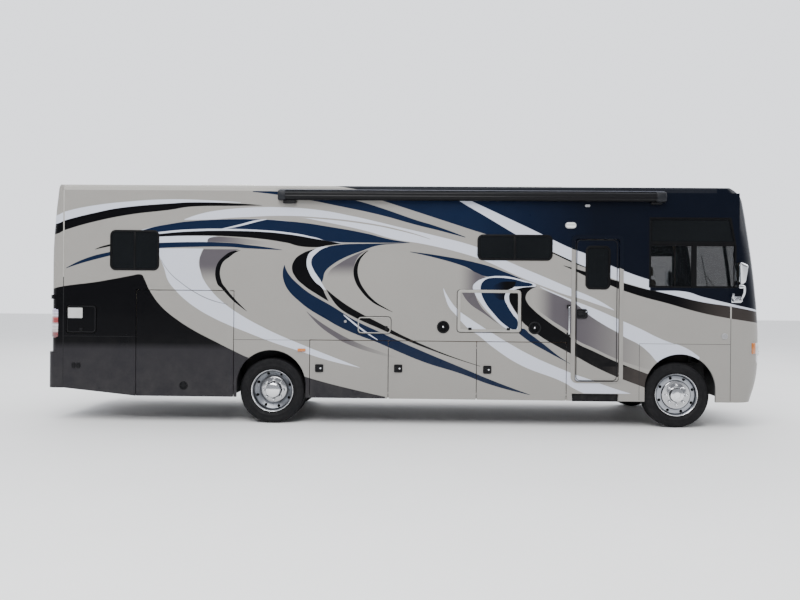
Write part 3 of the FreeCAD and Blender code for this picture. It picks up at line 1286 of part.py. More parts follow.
def tyre_profile(middle):
    """(y, radius) corners of a tyre's section about its middle plane."""
    half = "tyre_width / 2"
    bead = "rim_half - 12.5"
    section = [(bead, "rim_inner + 18 + fit_gap"), (bead, "rim_radius"), (f"{half} - 4", "rim_radius + 20"),
               (half, "(rim_radius + tyre_radius) / 2"), (f"{half} - 6", "tyre_radius - 42"),
               (f"{half} - 22", "tyre_radius - 10"), (f"{half} - 46", "tyre_radius")]
    points = [(f"-1 * ({across})", radius) for across, radius in section] + section[::-1]
    return [(f"{middle} + {across}", radius) for across, radius in points]


def rim_profile(middle):
    """(y, radius) corners of a rim barrel's section about its middle plane."""
    return [(f"{middle} - rim_half", "rim_inner"), (f"{middle} - rim_half", "rim_radius"),
            (f"{middle} - rim_half + 10", "rim_radius"), (f"{middle} - rim_half + 12", "rim_inner + 18"),
            (f"{middle} + rim_half - 12", "rim_inner + 18"), (f"{middle} + rim_half - 10", "rim_radius"),
            (f"{middle} + rim_half", "rim_radius"), (f"{middle} + rim_half", "rim_inner")]


def ring_places(radius, count, first):
    """(x, z) offsets of a ring of places round a wheel's centre."""
    for number in range(count):
        angle = math.radians(first + number * 360 / count)
        yield f"{radius} * {math.sin(angle):.6f}", f"{radius} * {math.cos(angle):.6f}"


def wheel_disc(name, side, x, inner, outer, hub, hub_inner, hub_outer):
    """Disc with hand holes and stud covers on its hub; all distances run outboard from the centre line."""

    def rod_out(label, low, high, radius, dx="0", dz="0"):
        start = f"-({high})" if side == "right" else low
        return rod(f"{name}_{label}", "y", (f"{x} + {dx}", start, f"tyre_radius + {dz}"),
                   f"({high}) - ({low})", radius)

    disc = rod_out("disc", inner, outer, "rim_inner + 4")
    holes = [rod_out(f"hole{number}", f"{inner} - 30", f"{outer} + 30", "hole_radius", dx, dz)
             for number, (dx, dz) in enumerate(ring_places("hole_circle * 0.8", 8, 22.5))]
    studs = [rod_out(f"stud{number}", inner, f"{outer} + 42", "stud_radius", dx, dz)
             for number, (dx, dz) in enumerate(ring_places("stud_circle", 8, 0))]
    centre = rod_out("hub", hub_inner, hub_outer, hub)
    return fuse(name + "_wheel", cut(name + "_pierced", disc, *holes), centre, *studs)


def front_wheel(side):
    """Front wheel: tyre, and rim with its outboard disc and hub on the knuckle's spindle."""
    sign = "-" if side == "right" else ""
    middle = f"{sign}front_track / 2"
    label = "front_" + side
    node("tyre_" + label, turned("tyre_body_" + label, tyre_profile(middle), FRONT_X, "tyre_radius"))
    barrel = turned("rim_barrel_" + label, rim_profile(middle), FRONT_X, "tyre_radius")
    face = "front_track / 2 + rim_half"
    disc = wheel_disc("rim_" + label, side, FRONT_X, f"{face} - 24", f"{face}", "hub_radius",
                      "king_pin_y + 95", f"{face} + 62")
    start = "king_pin_y + 60"
    bore_start = f"-({start} + 170)" if side == "right" else start
    bore = rod("rim_bore_" + label, "y", (FRONT_X, bore_start, "tyre_radius"), "170",
               "spindle_radius + bearing_gap")
    node("rim_" + label, cut("rim_body_" + label, fuse("rim_solid_" + label, barrel, disc), bore))


def rear_wheels(side):
    """Rear twin wheels: two tyres, and two rims bolted disc to disc on the hub."""
    sign = "-" if side == "right" else ""
    label = "rear_" + side
    tyres = []
    barrels = []
    for number, shift in (("inner", "-twin_spacing / 2"), ("outer", "twin_spacing / 2")):
        middle = f"{sign}(rear_track / 2 + {shift})"
        tyres.append(turned(f"tyre_{number}_{label}", tyre_profile(middle), REAR_X, "tyre_radius"))
        barrels.append(turned(f"rim_barrel_{number}_{label}", rim_profile(middle), REAR_X, "tyre_radius"))
    node("tyres_" + label, gather("tyres_group_" + label, *tyres))
    plane = "rear_track / 2"
    link_low = f"{plane} - twin_spacing / 2 + rim_half - 4"
    link_high = f"{plane} + twin_spacing / 2 - rim_half + 4"
    ends = (f"-({link_high})", f"-({link_low})") if side == "right" else (link_low, link_high)
    ring = rod("rim_link_" + label, "y", (REAR_X, ends[0], "tyre_radius"), f"({ends[1]}) - ({ends[0]})",
               "rim_inner + 8")
    ring_bore = rod("rim_link_bore_" + label, "y", (REAR_X, f"{ends[0]} - 10", "tyre_radius"),
                    f"({ends[1]}) - ({ends[0]}) + 20", "rim_inner - 8")
    disc = wheel_disc("rims_" + label, side, REAR_X, f"{plane} - 14", f"{plane} + 14", "rear_hub_radius",
                      f"{plane} - 110", f"{plane} + twin_spacing / 2 - 15")
    start = f"{plane} - 130"
    bore_start = f"-({start} + 200)" if side == "right" else start
    bore = rod("rims_bore_" + label, "y", (REAR_X, bore_start, "tyre_radius"), "200",
               "axle_radius + bearing_gap")
    solid = fuse("rims_solid_" + label, cut("rim_link_ring_" + label, ring, ring_bore), *barrels, disc)
    node("rims_" + label, cut("rims_body_" + label, solid, bore))


def rear_axle():
    """Axle tube with its differential, spring pads and the spindles inside the hubs."""
    reach = "rear_track / 2 + 60"
    tube = rod("rear_tube", "y", (REAR_X, f"-({reach})", "tyre_radius"), f"2 * ({reach})", "axle_radius")
    case = doc.addObject("Part::Sphere", "differential")
    place(case, REAR_X, "0", "tyre_radius")
    bind(case, "Radius", "axle_radius * 2.9")
    nose = rod("differential_nose", "x", (REAR_X, "0", "tyre_radius + 10"), "330", "75")
    pads = [box("rear_pad_" + side, (f"{REAR_X} - 70", f"{REAR_X} + 70"),
                (f"{sign}rail_y - spring_width / 2", f"{sign}rail_y + spring_width / 2"),
                ("tyre_radius", SEATS["rear"])) for side, sign in (("right", "-"), ("left", ""))]
    return node("rear_axle", fuse("rear_axle_body", tube, case, nose, *pads))


def drive_line():
    """Engine with its gearbox as one plain block hung from the rails, and the drive shaft."""
    block = box("engine_block", ("engine_x", "engine_x + engine_length"),
                ("-engine_width / 2", "engine_width / 2"),
                ("engine_bottom", "engine_bottom + engine_height"))
    gearbox = rod("gearbox", "x", ("engine_x - gearbox_length", "0", "gearbox_height"), "gearbox_length + 20",
                  "gearbox_radius")
    middle = "engine_x + engine_length / 2"
    rail_face = "rail_y - rail_flange / 2"
    flank = "engine_width / 2 - 10"
    mounts = [box("engine_mount_" + side, (middle, f"{middle} + 90"), ends,
                  ("engine_bottom + 120", "engine_bottom + 180"))
              for side, ends in (("right", (f"-({rail_face})", f"-({flank})")), ("left", (flank, rail_face)))]
    node("engine", fuse("engine_body", block, gearbox, *mounts))
    front = ("shaft_front_x", "0", "shaft_height")
    rear = (f"{REAR_X} + 360", "0", "tyre_radius + 10")
    yokes = [rod("yoke_" + label, "x", (f"{x} - 30", y, z), "60", "yoke_radius")
             for label, (x, y, z) in (("front", front), ("rear", rear))]
    start = FreeCAD.Vector(*map(evaluate, front))
    run = FreeCAD.Vector(*map(evaluate, rear)) - start
    tube = shape_node("shaft_tube", Part.makeCylinder(size("shaft_radius"), run.Length, start, run))
    node("drive_shaft", fuse("drive_shaft_body", tube, *yokes))


def tanks():
    """Fuel tank behind the rear axle and the holding tank over the rails."""
    fuel = rounded_box("fuel_tank", ("-fuel_tank_x", "-fuel_tank_x + fuel_tank_length"),
                       ("-250", "rail_y - rail_flange / 2"), ("fuel_tank_bottom", "rail_bottom + 120"),
                       "x", "bin_wall * 3")
    holding = rounded_box("holding_tank", ("-holding_tank_x", "-holding_tank_x + holding_tank_length"),
                          ("-rail_y", "rail_y"), (RAIL_TOP, f"{FLOOR_UNDER} - 20"), "x", "bin_wall * 3")
    node("tanks", gather("tank_group", fuel, holding))


def exhaust():
    """Exhaust pipe with its muffler, hung from the cross members."""
    y = "-rail_y + 105"
    middle = "rail_bottom - 40"
    pipe = rod("exhaust_pipe", "x", ("-exhaust_x", y, middle), "exhaust_length", "exhaust_radius")
    muffler = rod("muffler", "x", ("-muffler_x", "-rail_y + 175", middle), "muffler_length", "muffler_radius")
    hangers = [box(f"exhaust_hanger_{number}", (x, f"{x} + 30"), (f"{y} - 8", f"{y} + 8"),
                   ("rail_bottom - 12", "rail_bottom + 120"))
               for number, x in enumerate(("-exhaust_x + 10", "mid_cross_x + 20"))]
    node("exhaust", fuse("exhaust_body", pipe, muffler, *hangers))


chassis()
leaf_springs()
front_axle()
rear_axle()
tie_rod()
for wheel_side in ("right", "left"):
    knuckle(wheel_side)
    front_wheel(wheel_side)
    rear_wheels(wheel_side)
drive_line()
tanks()
exhaust()

# Cockpit


STEERING_TILT = FreeCAD.Rotation(FreeCAD.Vector(0, 1, 0), -42)


def tilted(kind, name, turn, x, y, z, **sizes):
    """A Part primitive turned as given at three expressions, with its sizes bound."""
    thing = doc.addObject("Part::" + kind, name)
    thing.Placement = FreeCAD.Placement(FreeCAD.Vector(), turn)
    place(thing, x, y, z)
    for prop, text in sizes.items():
        bind(thing, prop, text)
    return thing


def dashboard():
    """Dashboard on its kick panel across the cab, with the steering column and wheel."""
    profile = [("front_seam - 110", "floor_top"), ("front_seam - 60", "floor_top"),
               ("front_seam - 30", "dash_top - 160"), ("cab_seam + 190", "dash_top - 100"),
               ("cab_seam + 190", "dash_top - 40"), ("front_seam - 180", "dash_top"),
               ("front_seam - 260", "dash_top - 70"), ("front_seam - 200", "dash_top - 200")]
    body = prism("dash_body", "xz", profile, "dash_width / 2", "dash_width")
    column = tilted("Cylinder", "steering_column", STEERING_TILT, "steering_x + 140", "seat_y",
                    "steering_height - 156", Radius="steering_grip * 2", Height="steering_radius")
    rim = tilted("Torus", "steering_rim", STEERING_TILT, "steering_x", "seat_y", "steering_height",
                 Radius1="steering_radius", Radius2="steering_grip")
    spoke = tilted("Cylinder", "steering_spokes", TURNS["y"], "steering_x", "seat_y - steering_radius",
                   "steering_height", Radius="steering_grip", Height="2 * steering_radius")
    node("dashboard", fuse("dashboard_body", body, column, rim, spoke))


def cab_seats():
    """Driver's and passenger's chairs on pedestals."""
    pieces = []
    for side, sign in (("right", "-"), ("left", "")):
        name = "seat_" + side

        def across(width):
            return (f"{sign}seat_y - {width} / 2", f"{sign}seat_y + {width} / 2")

        cushion = "floor_top + seat_rise"
        parts = [box(name + "_pedestal", ("seat_x + 90", "seat_x + seat_length - 110"), across("340"),
                     ("floor_top", f"{cushion} + 5")),
                 rounded_box(name + "_cushion", ("seat_x", "seat_x + seat_length"), across("seat_width"),
                             (cushion, f"{cushion} + seat_thick"), "x", "seat_thick / 4"),
                 rounded_box(name + "_back", ("seat_x - 130", "seat_x + 20"), across("(seat_width - 20)"),
                             (f"{cushion} + 45", f"{cushion} + 45 + seat_back_height"), "x",
                             "seat_thick / 2")]
        pieces.append(fuse(name, *parts))
    node("cab_seats", gather("seat_group", *pieces))


dashboard()
cab_seats()

# Outside fittings


def awning():
    """Roof-edge awning in its case along the right side."""
    x = ("-awning_x", "-awning_x + awning_length")
    case = rounded_box("awning_case", x, side_span("right", "-awning_depth", "0"),
                       ("awning_bottom", "awning_bottom + awning_height"), "x", "awning_depth * 0.35")
    node("awning", case)


def mirrors():
    """Mirror heads on arms from the front cap's corners."""
    pieces = []
    for side, sign in (("right", "-"), ("left", "")):
        name = "mirror_" + side

        def span(low, high):
            return tuple(sorted((f"{sign}({low})", f"{sign}({high})"), key=evaluate))

        head = rounded_box(name + "_head", ("mirror_x - mirror_deep / 2", "mirror_x + mirror_deep / 2"),
                           span("mirror_y - mirror_width / 2", "mirror_y + mirror_width / 2"),
                           ("mirror_bottom", "mirror_bottom + mirror_height"), "x", "mirror_width / 3")
        arm = box(name + "_arm", ("mirror_x - 28", "mirror_x + 28"), span("mirror_y - 25", "mirror_y + 25"),
                  ("mirror_bottom - 150", "mirror_bottom + 20"))
        foot = box(name + "_foot", ("mirror_x - 28", "mirror_x + 28"), span(HALF, "mirror_y + 25"),
                   ("mirror_bottom - 175", "mirror_bottom - 125"))
        base = box(name + "_base", ("mirror_x - 75", "mirror_x + 60"), span(HALF, f"{HALF} + 30"),
                   ("mirror_bottom - 195", "mirror_bottom - 60"))
        pieces.append(fuse(name, head, arm, foot, base))
    node("mirrors", gather("mirror_group", *pieces))


def roof_units():
    """Low air conditioners and roof vents, seated on the crown."""
    pieces = []
    base = "roof_crown - 12"
    unit = ("roof_unit_length", "roof_unit_width", "roof_unit_height")
    vent = ("roof_vent_width", "roof_vent_width", "roof_vent_height")
    for label, x, (length, width, height) in (("ac_rear", "-rear_seam + 1617", unit),
                                              ("ac_front", "1500", unit),
                                              ("vent_rear", "-1700", vent), ("vent_front", "100", vent)):
        pieces.append(rounded_box(label, (x, f"{x} + {length}"), (f"-{width} / 2", f"{width} / 2"),
                                  (base, f"roof_crown + {height}"), "z", "60"))
    return gather("roof_unit_blocks", *pieces)


def roof_fittings():
    """Roof units cut to the crown they sit on."""
    block = roof_units()
    doc.recompute()
    crown = roof_prism(-size("rear_seam"), size("roof_seam"), 0)
    node("roof_units", shape_node("roof_units_form", block.Shape.cut(crown)))


def ladder():
    """Rear ladder: two rails with rungs, on stand-offs from the rear cap."""
    x = "-rear_reach + tail_setback - 55"
    inner = "ladder_y - ladder_width / 2"
    parts = [rod(f"ladder_rung_{number}", "y", (x, inner, f"ladder_bottom + 80 + {number} * rung_pitch"),
                 "ladder_width", "12") for number in range(7)]
    for label, y in (("inner", inner), ("outer", "ladder_y + ladder_width / 2")):
        parts.append(rod("ladder_rail_" + label, "z", (x, y, "ladder_bottom"), "ladder_height", "13"))
        for number, level in enumerate(("ladder_bottom + 40", "ladder_bottom + 1130",
                                        "ladder_bottom + ladder_height - 40")):
            face = tail_reach(evaluate(level)) - evaluate(y) ** 2 / (2 * size("tail_bow"))
            length = -face - evaluate(x) - 0.6
            parts.append(rod(f"ladder_stay_{label}_{number}", "x", (x, y, level), f"{length:.3f}", "9"))
    node("ladder", fuse("ladder_body", *parts))


awning()
mirrors()
ladder()
roof_fittings()

# Check every object, then write one file for each sub-part
doc.recompute()
faults = [thing.Label for thing in doc.Objects if "Invalid" in thing.State or "Error" in thing.State]
if faults:
    raise RuntimeError("failed: " + ", ".join(faults))
for thing in NODES:
    if thing.Shape.isNull() or not thing.Shape.isValid() or not thing.Shape.Solids:
        raise RuntimeError("no valid shape: " + thing.Label)
for thing in NODES:
    thing.Shape.exportStep(f"parts/{thing.Label}.step")
    print(thing.Label, len(thing.Shape.Solids), round(thing.Shape.Volume / 1e6, 2))
print(len(NODES), "sub-parts")
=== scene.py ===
"""Looks for a full-size motorhome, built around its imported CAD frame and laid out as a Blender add-on.

Each operator models one group of pieces, or gives the frame's nodes their finishes, at rest and in metres:
+X is forward, +Y the driver's side, +Z up, and the floor is at Z = 0.
"""

import math
from collections import namedtuple
from contextlib import contextmanager
from functools import partialmethod
from itertools import product

import bmesh
import bpy
from bpy.props import FloatProperty, FloatVectorProperty, PointerProperty
from mathutils import Matrix, Vector


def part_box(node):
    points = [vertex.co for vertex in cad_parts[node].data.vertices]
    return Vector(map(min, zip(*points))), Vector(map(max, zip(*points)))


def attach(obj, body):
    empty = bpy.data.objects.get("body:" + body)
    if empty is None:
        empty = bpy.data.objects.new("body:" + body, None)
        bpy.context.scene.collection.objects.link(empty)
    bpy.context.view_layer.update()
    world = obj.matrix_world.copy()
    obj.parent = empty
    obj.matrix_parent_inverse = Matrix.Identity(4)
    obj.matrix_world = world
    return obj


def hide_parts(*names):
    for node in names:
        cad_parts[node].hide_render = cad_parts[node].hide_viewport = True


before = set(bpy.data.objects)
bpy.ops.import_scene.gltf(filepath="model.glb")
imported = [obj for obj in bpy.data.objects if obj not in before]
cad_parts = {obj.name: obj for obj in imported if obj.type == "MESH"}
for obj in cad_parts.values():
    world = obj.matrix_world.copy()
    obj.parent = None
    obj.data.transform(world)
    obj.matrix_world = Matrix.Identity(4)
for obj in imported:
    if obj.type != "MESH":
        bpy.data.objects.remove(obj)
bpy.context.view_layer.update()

bl_info = {"name": "Motorhome looks", "version": (1, 0, 0), "blender": (4, 5, 0),
    "location": "View3D > Sidebar > Motorhome",
    "description": "Paint, glass, wheels, lamps and fittings around the motorhome's frame",
    "category": "Object",}

SIDES = {"right": -1, "left": 1}
WALL_Y = 1.2825
AXLES = {"front": 3.892, "rear": -1.899}
HUB_HEIGHT = 0.47


# Sizes and colours that a user would change


def length(name, default, description):
    return FloatProperty(name=name, description=description, default=default, min=0, unit="LENGTH",
        precision=4)


def colour(name, default, description):
    return FloatVectorProperty(name=name, description=description, default=default, min=0, max=1, size=3,
        subtype="COLOR")


def turn(name, default, description):
    return FloatProperty(name=name, description=description, default=math.radians(default), unit="ROTATION")


class CoachColours(bpy.types.PropertyGroup):
    """The coach's paints, as linear colours."""

    champagne: colour("Champagne", (0.265, 0.255, 0.238), "Metallic ground colour of the sides and caps")
    silver: colour("Silver", (0.53, 0.555, 0.63), "Light sweeps")
    navy: colour("Navy", (0.0042, 0.0105, 0.031), "Blue sweeps")
    night: colour("Night blue", (0.0024, 0.0038, 0.0085), "Upper front of the coach")
    ink: colour("Ink", (0.0016, 0.0016, 0.0023), "Near-black sweeps and the lower tail")
    # Painted reflection: the pale floor seen in the gloss, laid into the dark sweeps low on the tail and
    # sides
    floor_reflection: colour("Charcoal", (0.021, 0.02, 0.023), "Lower part of the dark sweeps and the lower tail")
    umber: colour("Umber", (0.033, 0.028, 0.026), "Brown-grey that the dark sweeps run into at the front")
    mauve: colour("Mauve", (0.082, 0.074, 0.083), "Grey-violet shading between the sweeps")
    slate: colour("Slate", (0.16, 0.165, 0.18), "Fine lines in the silver sweeps")
    lining: colour("Lining", (0.52, 0.46, 0.37), "Inside of the walls and caps")
    backing: colour("Backing", (0.1, 0.1, 0.105), "Back of the luggage doors")


class WheelSizes(bpy.types.PropertyGroup):
    """The wheels and tyres."""

    tread_depth: length("Tread depth", 0.011, "Depth of the tyre's circumferential grooves")
    hand_hole: length("Hand hole", 0.0225, "Radius of the wheel's hand holes")
    hole_circle: length("Hole circle", 0.247, "Radius that the hand holes stand on")
    stud_circle: length("Stud circle", 0.142, "Radius that the wheel studs stand on")
    first_hole: turn("First hole", 27, "Turn of the first hand hole from straight up")
    polish: colour("Polish", (0.86, 0.87, 0.89), "Polished wheel metal")
    rubber: colour("Rubber", (0.0055, 0.0055, 0.0065), "Tyre rubber")


class StageSizes(bpy.types.PropertyGroup):
    """The floor, the light and the camera."""

    floor_half: length("Floor half-width", 60, "Half the floor's side")
    floor: colour("Floor", (0.86, 0.86, 0.85), "Pale studio floor")
    sky: colour("Surround", (0.93, 0.95, 1), "Light from behind the coach")
    hall: colour("Hall", (0.2, 0.205, 0.22), "Darker light from the camera's side, for the paint to reflect")
    sky_strength: FloatProperty(name="Surround strength", description="Strength of that light", default=1.9,
        min=0)
    lens: FloatProperty(name="Lens", description="Focal length on a 36 mm sensor", default=33.29, min=1,
        unit="CAMERA")
    place: FloatVectorProperty(name="Camera place", description="Where the camera stands",
        default=(0.173, -11.833, 1.817), size=3, subtype="TRANSLATION", unit="LENGTH")
    yaw: turn("Yaw", 1.289, "The camera's turn to its left")
    pitch: turn("Pitch", -0.132, "The camera's tilt upwards")
    roll: turn("Roll", 0.499, "The camera's roll")


# Modelling with the operators


def drop_selection():
    """Leaves edit mode and selects nothing, because an operator acts on all that is selected."""
    if bpy.context.mode != "OBJECT":
        bpy.ops.object.mode_set(mode="OBJECT")
    bpy.ops.object.select_all(action="DESELECT")


def hold(*pieces):
    """Selects these pieces alone, the first of them active."""
    drop_selection()
    for piece in pieces:
        piece.select_set(True)
    bpy.context.view_layer.objects.active = pieces[0]


@contextmanager
def editing(piece, kind="VERT", action="SELECT"):
    """Edit mode on one piece, with all of it selected or, with DESELECT, nothing."""
    hold(piece)
    bpy.ops.object.mode_set(mode="EDIT")
    bpy.ops.mesh.select_mode(type=kind)
    bpy.ops.mesh.select_all(action=action)
    yield bmesh.from_edit_mesh(piece.data)
    bpy.ops.object.mode_set(mode="OBJECT")


def choose(piece, parts, test):
    """Selects those faces or edges of a piece in edit mode that pass a test."""
    for part in parts:
        part.select_set(bool(test(part)))
    bmesh.update_edit_mesh(piece.data)


def runs_along(edge, axis):
    """Whether an edge runs along axis 0, 1 or 2."""
    step = edge.verts[1].co - edge.verts[0].co
    return abs(step[axis]) > 0.99 * step.length


def named(piece, name):
    piece.name = name
    piece.data.name = name
    return piece


def raw_block(name, low, high):
    """A box between two corners, to be worked on."""
    drop_selection()
    low, high = Vector(low), Vector(high)
    bpy.ops.mesh.primitive_cube_add(size=1, location=(low + high) / 2, scale=high - low)
    bpy.ops.object.transform_apply()
    return named(bpy.context.object, name)


def rounded(piece, test, radius, steps):
    """Rounds those edges of a piece that pass a test."""
    with editing(piece, "EDGE", "DESELECT") as mesh:
        choose(piece, mesh.edges, test)
        bpy.ops.mesh.bevel(offset=radius, segments=steps, affect="EDGES", clamp_overlap=True)
    return piece


def bent(degrees):
    """A test for the edges that bend by more than this."""
    return lambda edge: edge.calc_face_angle(0) > math.radians(degrees)


def block(name, low, high, soft=0.004, steps=2):
    """A box between two corners with its edges rounded."""
    return rounded(raw_block(name, low, high), lambda edge: True, soft, steps)


def plate(name, low, high, facing, radius, soft=0.002, steps=6):
    """A plate that faces along axis 0, 1 or 2, with round corners and a softened rim."""
    piece = rounded(raw_block(name, low, high), lambda edge: runs_along(edge, facing), radius, steps)
    return rounded(piece, lambda edge: not runs_along(edge, facing), soft, 2)


def chain(name, points):
    """A line of vertices, drawn by extruding one vertex from point to point."""
    drop_selection()
    points = [Vector(point) for point in points]
    bpy.ops.mesh.primitive_plane_add(size=0.01, location=points[0])
    piece = named(bpy.context.object, name)
    bpy.ops.object.transform_apply()
    with editing(piece):
        bpy.ops.mesh.merge(type="CENTER")
        for here, there in zip(points, points[1:]):
            bpy.ops.mesh.extrude_region_move(TRANSFORM_OT_translate={"value": there - here})
    return piece


def right_way_out(piece):
    """Merges doubles, then points every face outwards."""
    with editing(piece):
        bpy.ops.mesh.remove_doubles(threshold=1e-5)
        bpy.ops.mesh.normals_make_consistent(inside=False)
    return piece


def drawn(name, points, sweep, soft=0, steps=2):
    """A solid: a flat outline filled and pushed along a vector."""
    piece = chain(name, points)
    with editing(piece):
        bpy.ops.mesh.edge_face_add()
        bpy.ops.mesh.select_all(action="SELECT")
        bpy.ops.mesh.extrude_region_move(TRANSFORM_OT_translate={"value": sweep})
    right_way_out(piece)
    return rounded(piece, bent(25), soft, steps) if soft else piece


def lathe(name, middle, profile, steps=64, axis=(0, 1, 0)):
    """A turned piece: (radius, distance along the axis) points spun about a line through middle."""
    middle, axis = Vector(middle), Vector(axis)
    start = Vector((0, 0, 1) if axis.x else (1, 0, 0))
    piece = chain(name, [middle + start * radius + axis * along for radius, along in profile])
    with editing(piece):
        bpy.ops.mesh.spin(steps=steps, angle=2 * math.pi, center=middle, axis=axis)
    return right_way_out(piece)


def pipe(name, points, radius, steps):
    """A bent tube or bar through these points."""
    drop_selection()
    curve = bpy.data.curves.new(name, "CURVE")
    curve.dimensions = "3D"
    curve.bevel_depth = radius
    curve.bevel_resolution = steps // 2
    curve.resolution_u = 8
    curve.use_fill_caps = True
    line = curve.splines.new("NURBS")
    line.points.add(len(points) - 1)
    for point, place in zip(line.points, points):
        point.co = (*place, 1)
    line.order_u = 3
    line.use_endpoint_u = True
    piece = bpy.data.objects.new(name, curve)
    bpy.context.scene.collection.objects.link(piece)
    hold(piece)
    bpy.ops.object.convert(target="MESH")
    return named(bpy.context.object, name)


def shaped(piece, kind, **settings):
    """Adds a modifier to a piece and applies it."""
    hold(piece)
    modifier = piece.modifiers.new(kind.title(), kind)
    for key, value in settings.items():
        setattr(modifier, key, value)
    bpy.ops.object.modifier_apply(modifier=modifier.name)
    return piece


def cut_out(piece, cutter):
    """Takes one solid out of another and throws the cutter away."""
    shaped(piece, "BOOLEAN", operation="DIFFERENCE", object=cutter, solver="EXACT")
    bpy.data.objects.remove(cutter)
    return piece


def copied(piece, name, matrix):
    """A copy with its own mesh, moved by a matrix."""
    other = piece.copy()
    other.data = piece.data.copy()
    bpy.context.scene.collection.objects.link(other)
    other.data.transform(matrix)
    if matrix.determinant() < 0:
        other.data.flip_normals()
    return named(other, name)


def moved(x=0, y=0, z=0):
    return Matrix.Translation((x, y, z))


def turned(angle, axis, middle):
    """A turn about a line through middle along an axis letter."""
    middle = Vector(middle)
    return Matrix.Translation(middle) @ Matrix.Rotation(angle, 4, axis) @ Matrix.Translation(-middle)


ACROSS = Matrix.Scale(-1, 4, (0, 1, 0))


def mirror_image(piece, name):
    """Turns a finished right-hand piece into its left-hand mirror image."""
    piece.data.transform(ACROSS)
    return named(right_way_out(piece), name)


def joined(name, *pieces):
    """One object from several."""
    if len(pieces) > 1:
        hold(*pieces)
        bpy.ops.object.join()
    return named(pieces[0], name)


def fitted(piece, finish, body="coach", slot="dark_trim", *replaces, smooth=35):
    """Gives a finished piece its body and finish, and hides the nodes that it stands for. slot is not used.
    """
    hold(piece)
    bpy.ops.object.shade_smooth_by_angle(angle=math.radians(smooth))
    piece.data.materials.clear()
    piece.data.materials.append(finish)
    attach(piece, body)
    if replaces:
        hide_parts(*replaces)


def fitted_twice(piece, *about, **more):
    """Fits a piece and its mirror image on the other side, which takes the other side's name."""
    here, there = ("right", "left") if "right" in piece.name else ("left", "right")
    for each in (copied(piece, piece.name.replace(here, there), ACROSS), piece):
        fitted(each, *about, **more)


# Writing finishes


class Wire:
    """One socket's value, so that shader sums read as sums."""

    def __init__(self, finish, socket):
        self.finish = finish
        self.socket = socket

    def math(self, operation, *others):
        return self.finish.node("ShaderNodeMath", {"operation": operation}, dict(enumerate((self, *others))))

    __add__ = partialmethod(math, "ADD")
    __sub__ = partialmethod(math, "SUBTRACT")
    __mul__ = partialmethod(math, "MULTIPLY")
    __truediv__ = partialmethod(math, "DIVIDE")
    __gt__ = partialmethod(math, "GREATER_THAN")
    __lt__ = partialmethod(math, "LESS_THAN")
    __abs__ = partialmethod(math, "ABSOLUTE")
    least = partialmethod(math, "MINIMUM")
    most = partialmethod(math, "MAXIMUM")

    def __rsub__(self, other):
        return self.finish.node("ShaderNodeMath", {"operation": "SUBTRACT"}, {0: other, 1: self})

    def over(self, low, high, out_low=0, out_high=1, kind="LINEAR"):
        """This value taken from one range to another, and kept inside it."""
        inputs = {"Value": self, "From Min": low, "From Max": high, "To Min": out_low, "To Max": out_high}
        return self.finish.node("ShaderNodeMapRange", {"interpolation_type": kind, "clamp": True}, inputs)


class Finish:
    """A material while it is written. Every node comes from one method."""

    def __init__(self, name, world=False):
        self.material = (bpy.data.worlds if world else bpy.data.materials).new(name)
        self.material.use_nodes = True
        self.tree = self.material.node_tree
        self.tree.nodes.clear()
        self.place = self.node("ShaderNodeTexCoord", output="Generated" if world else "Object")

    def node(self, kind, settings=None, inputs=None, output=0):
        """Adds a node, makes its settings, sets or links its sockets, and gives one of its outputs."""
        node = self.tree.nodes.new(kind)
        for key, value in (settings or {}).items():
            if key == "curve":
                line = node.mapping.curves[0]
                for point, spot in zip(line.points, (value[0], value[-1])):
                    point.location = spot
                for spot in value[1:-1]:
                    line.points.new(*spot)
                node.mapping.use_clip = False
                node.mapping.extend = "HORIZONTAL"
                node.mapping.update()
            elif key == "stops":
                ramp = node.color_ramp
                while len(ramp.elements) < len(value):
                    ramp.elements.new(0.5)
                for element, (spot, shade) in zip(ramp.elements, value):
                    element.position = spot
                    element.color = (*shade, 1)
            else:
                setattr(node, key, value)
        for key, value in (inputs or {}).items():
            if isinstance(value, Wire):
                self.tree.links.new(value.socket, node.inputs[key])
            else:
                node.inputs[key].default_value = value
        return Wire(self, node.outputs[output]) if node.outputs else None

    def axes(self):
        """The surface point's x, y and z at rest."""
        split = self.node("ShaderNodeSeparateXYZ", inputs={0: self.place})
        outputs = split.socket.node.outputs
        return tuple(Wire(self, outputs[k]) for k in range(3))

    def stretched(self, scale):
        """The surface point, scaled by (x, y, z)."""
        return self.node("ShaderNodeVectorMath", {"operation": "MULTIPLY"}, {0: self.place, 1: scale})

    def noise(self, scale, detail=2, rough=0.5, at=None):
        inputs = {"Vector": at or self.place, "Scale": scale, "Detail": detail, "Roughness": rough}
        return self.node("ShaderNodeTexNoise", inputs=inputs)

    def toned(self, tint, scale):
        """A colour made lighter and darker by a scale that varies."""
        return self.node("ShaderNodeVectorMath", {"operation": "SCALE"}, {0: tint, "Scale": scale})

    def mix(self, back, front, amount):
        """Front laid over back. Both are colours."""
        values = {6: back if isinstance(back, Wire) else (*back, 1), 7: front if isinstance(front, Wire)
            else (*front, 1), 0: amount}
        return self.node("ShaderNodeMix", {"data_type": "RGBA"}, values, output=2)

    def bump(self, height, strength=0.3, distance=0.001, normal=None):
        inputs = {"Height": height, "Strength": strength, "Distance": distance}
        if normal:
            inputs["Normal"] = normal
        return self.node("ShaderNodeBump", inputs=inputs)

    def surface(self, colour, **sockets):
        """Ends the material with one Principled shader and gives it."""
        inputs = {"Base Color": colour if isinstance(colour, Wire) else (*colour, 1)}
        inputs.update({key.replace("_", " "): value for key, value in sockets.items()})
        shader = self.node("ShaderNodeBsdfPrincipled", inputs=inputs)
        self.node("ShaderNodeOutputMaterial", inputs={0: shader})
        return self.material


FINISHES = {}


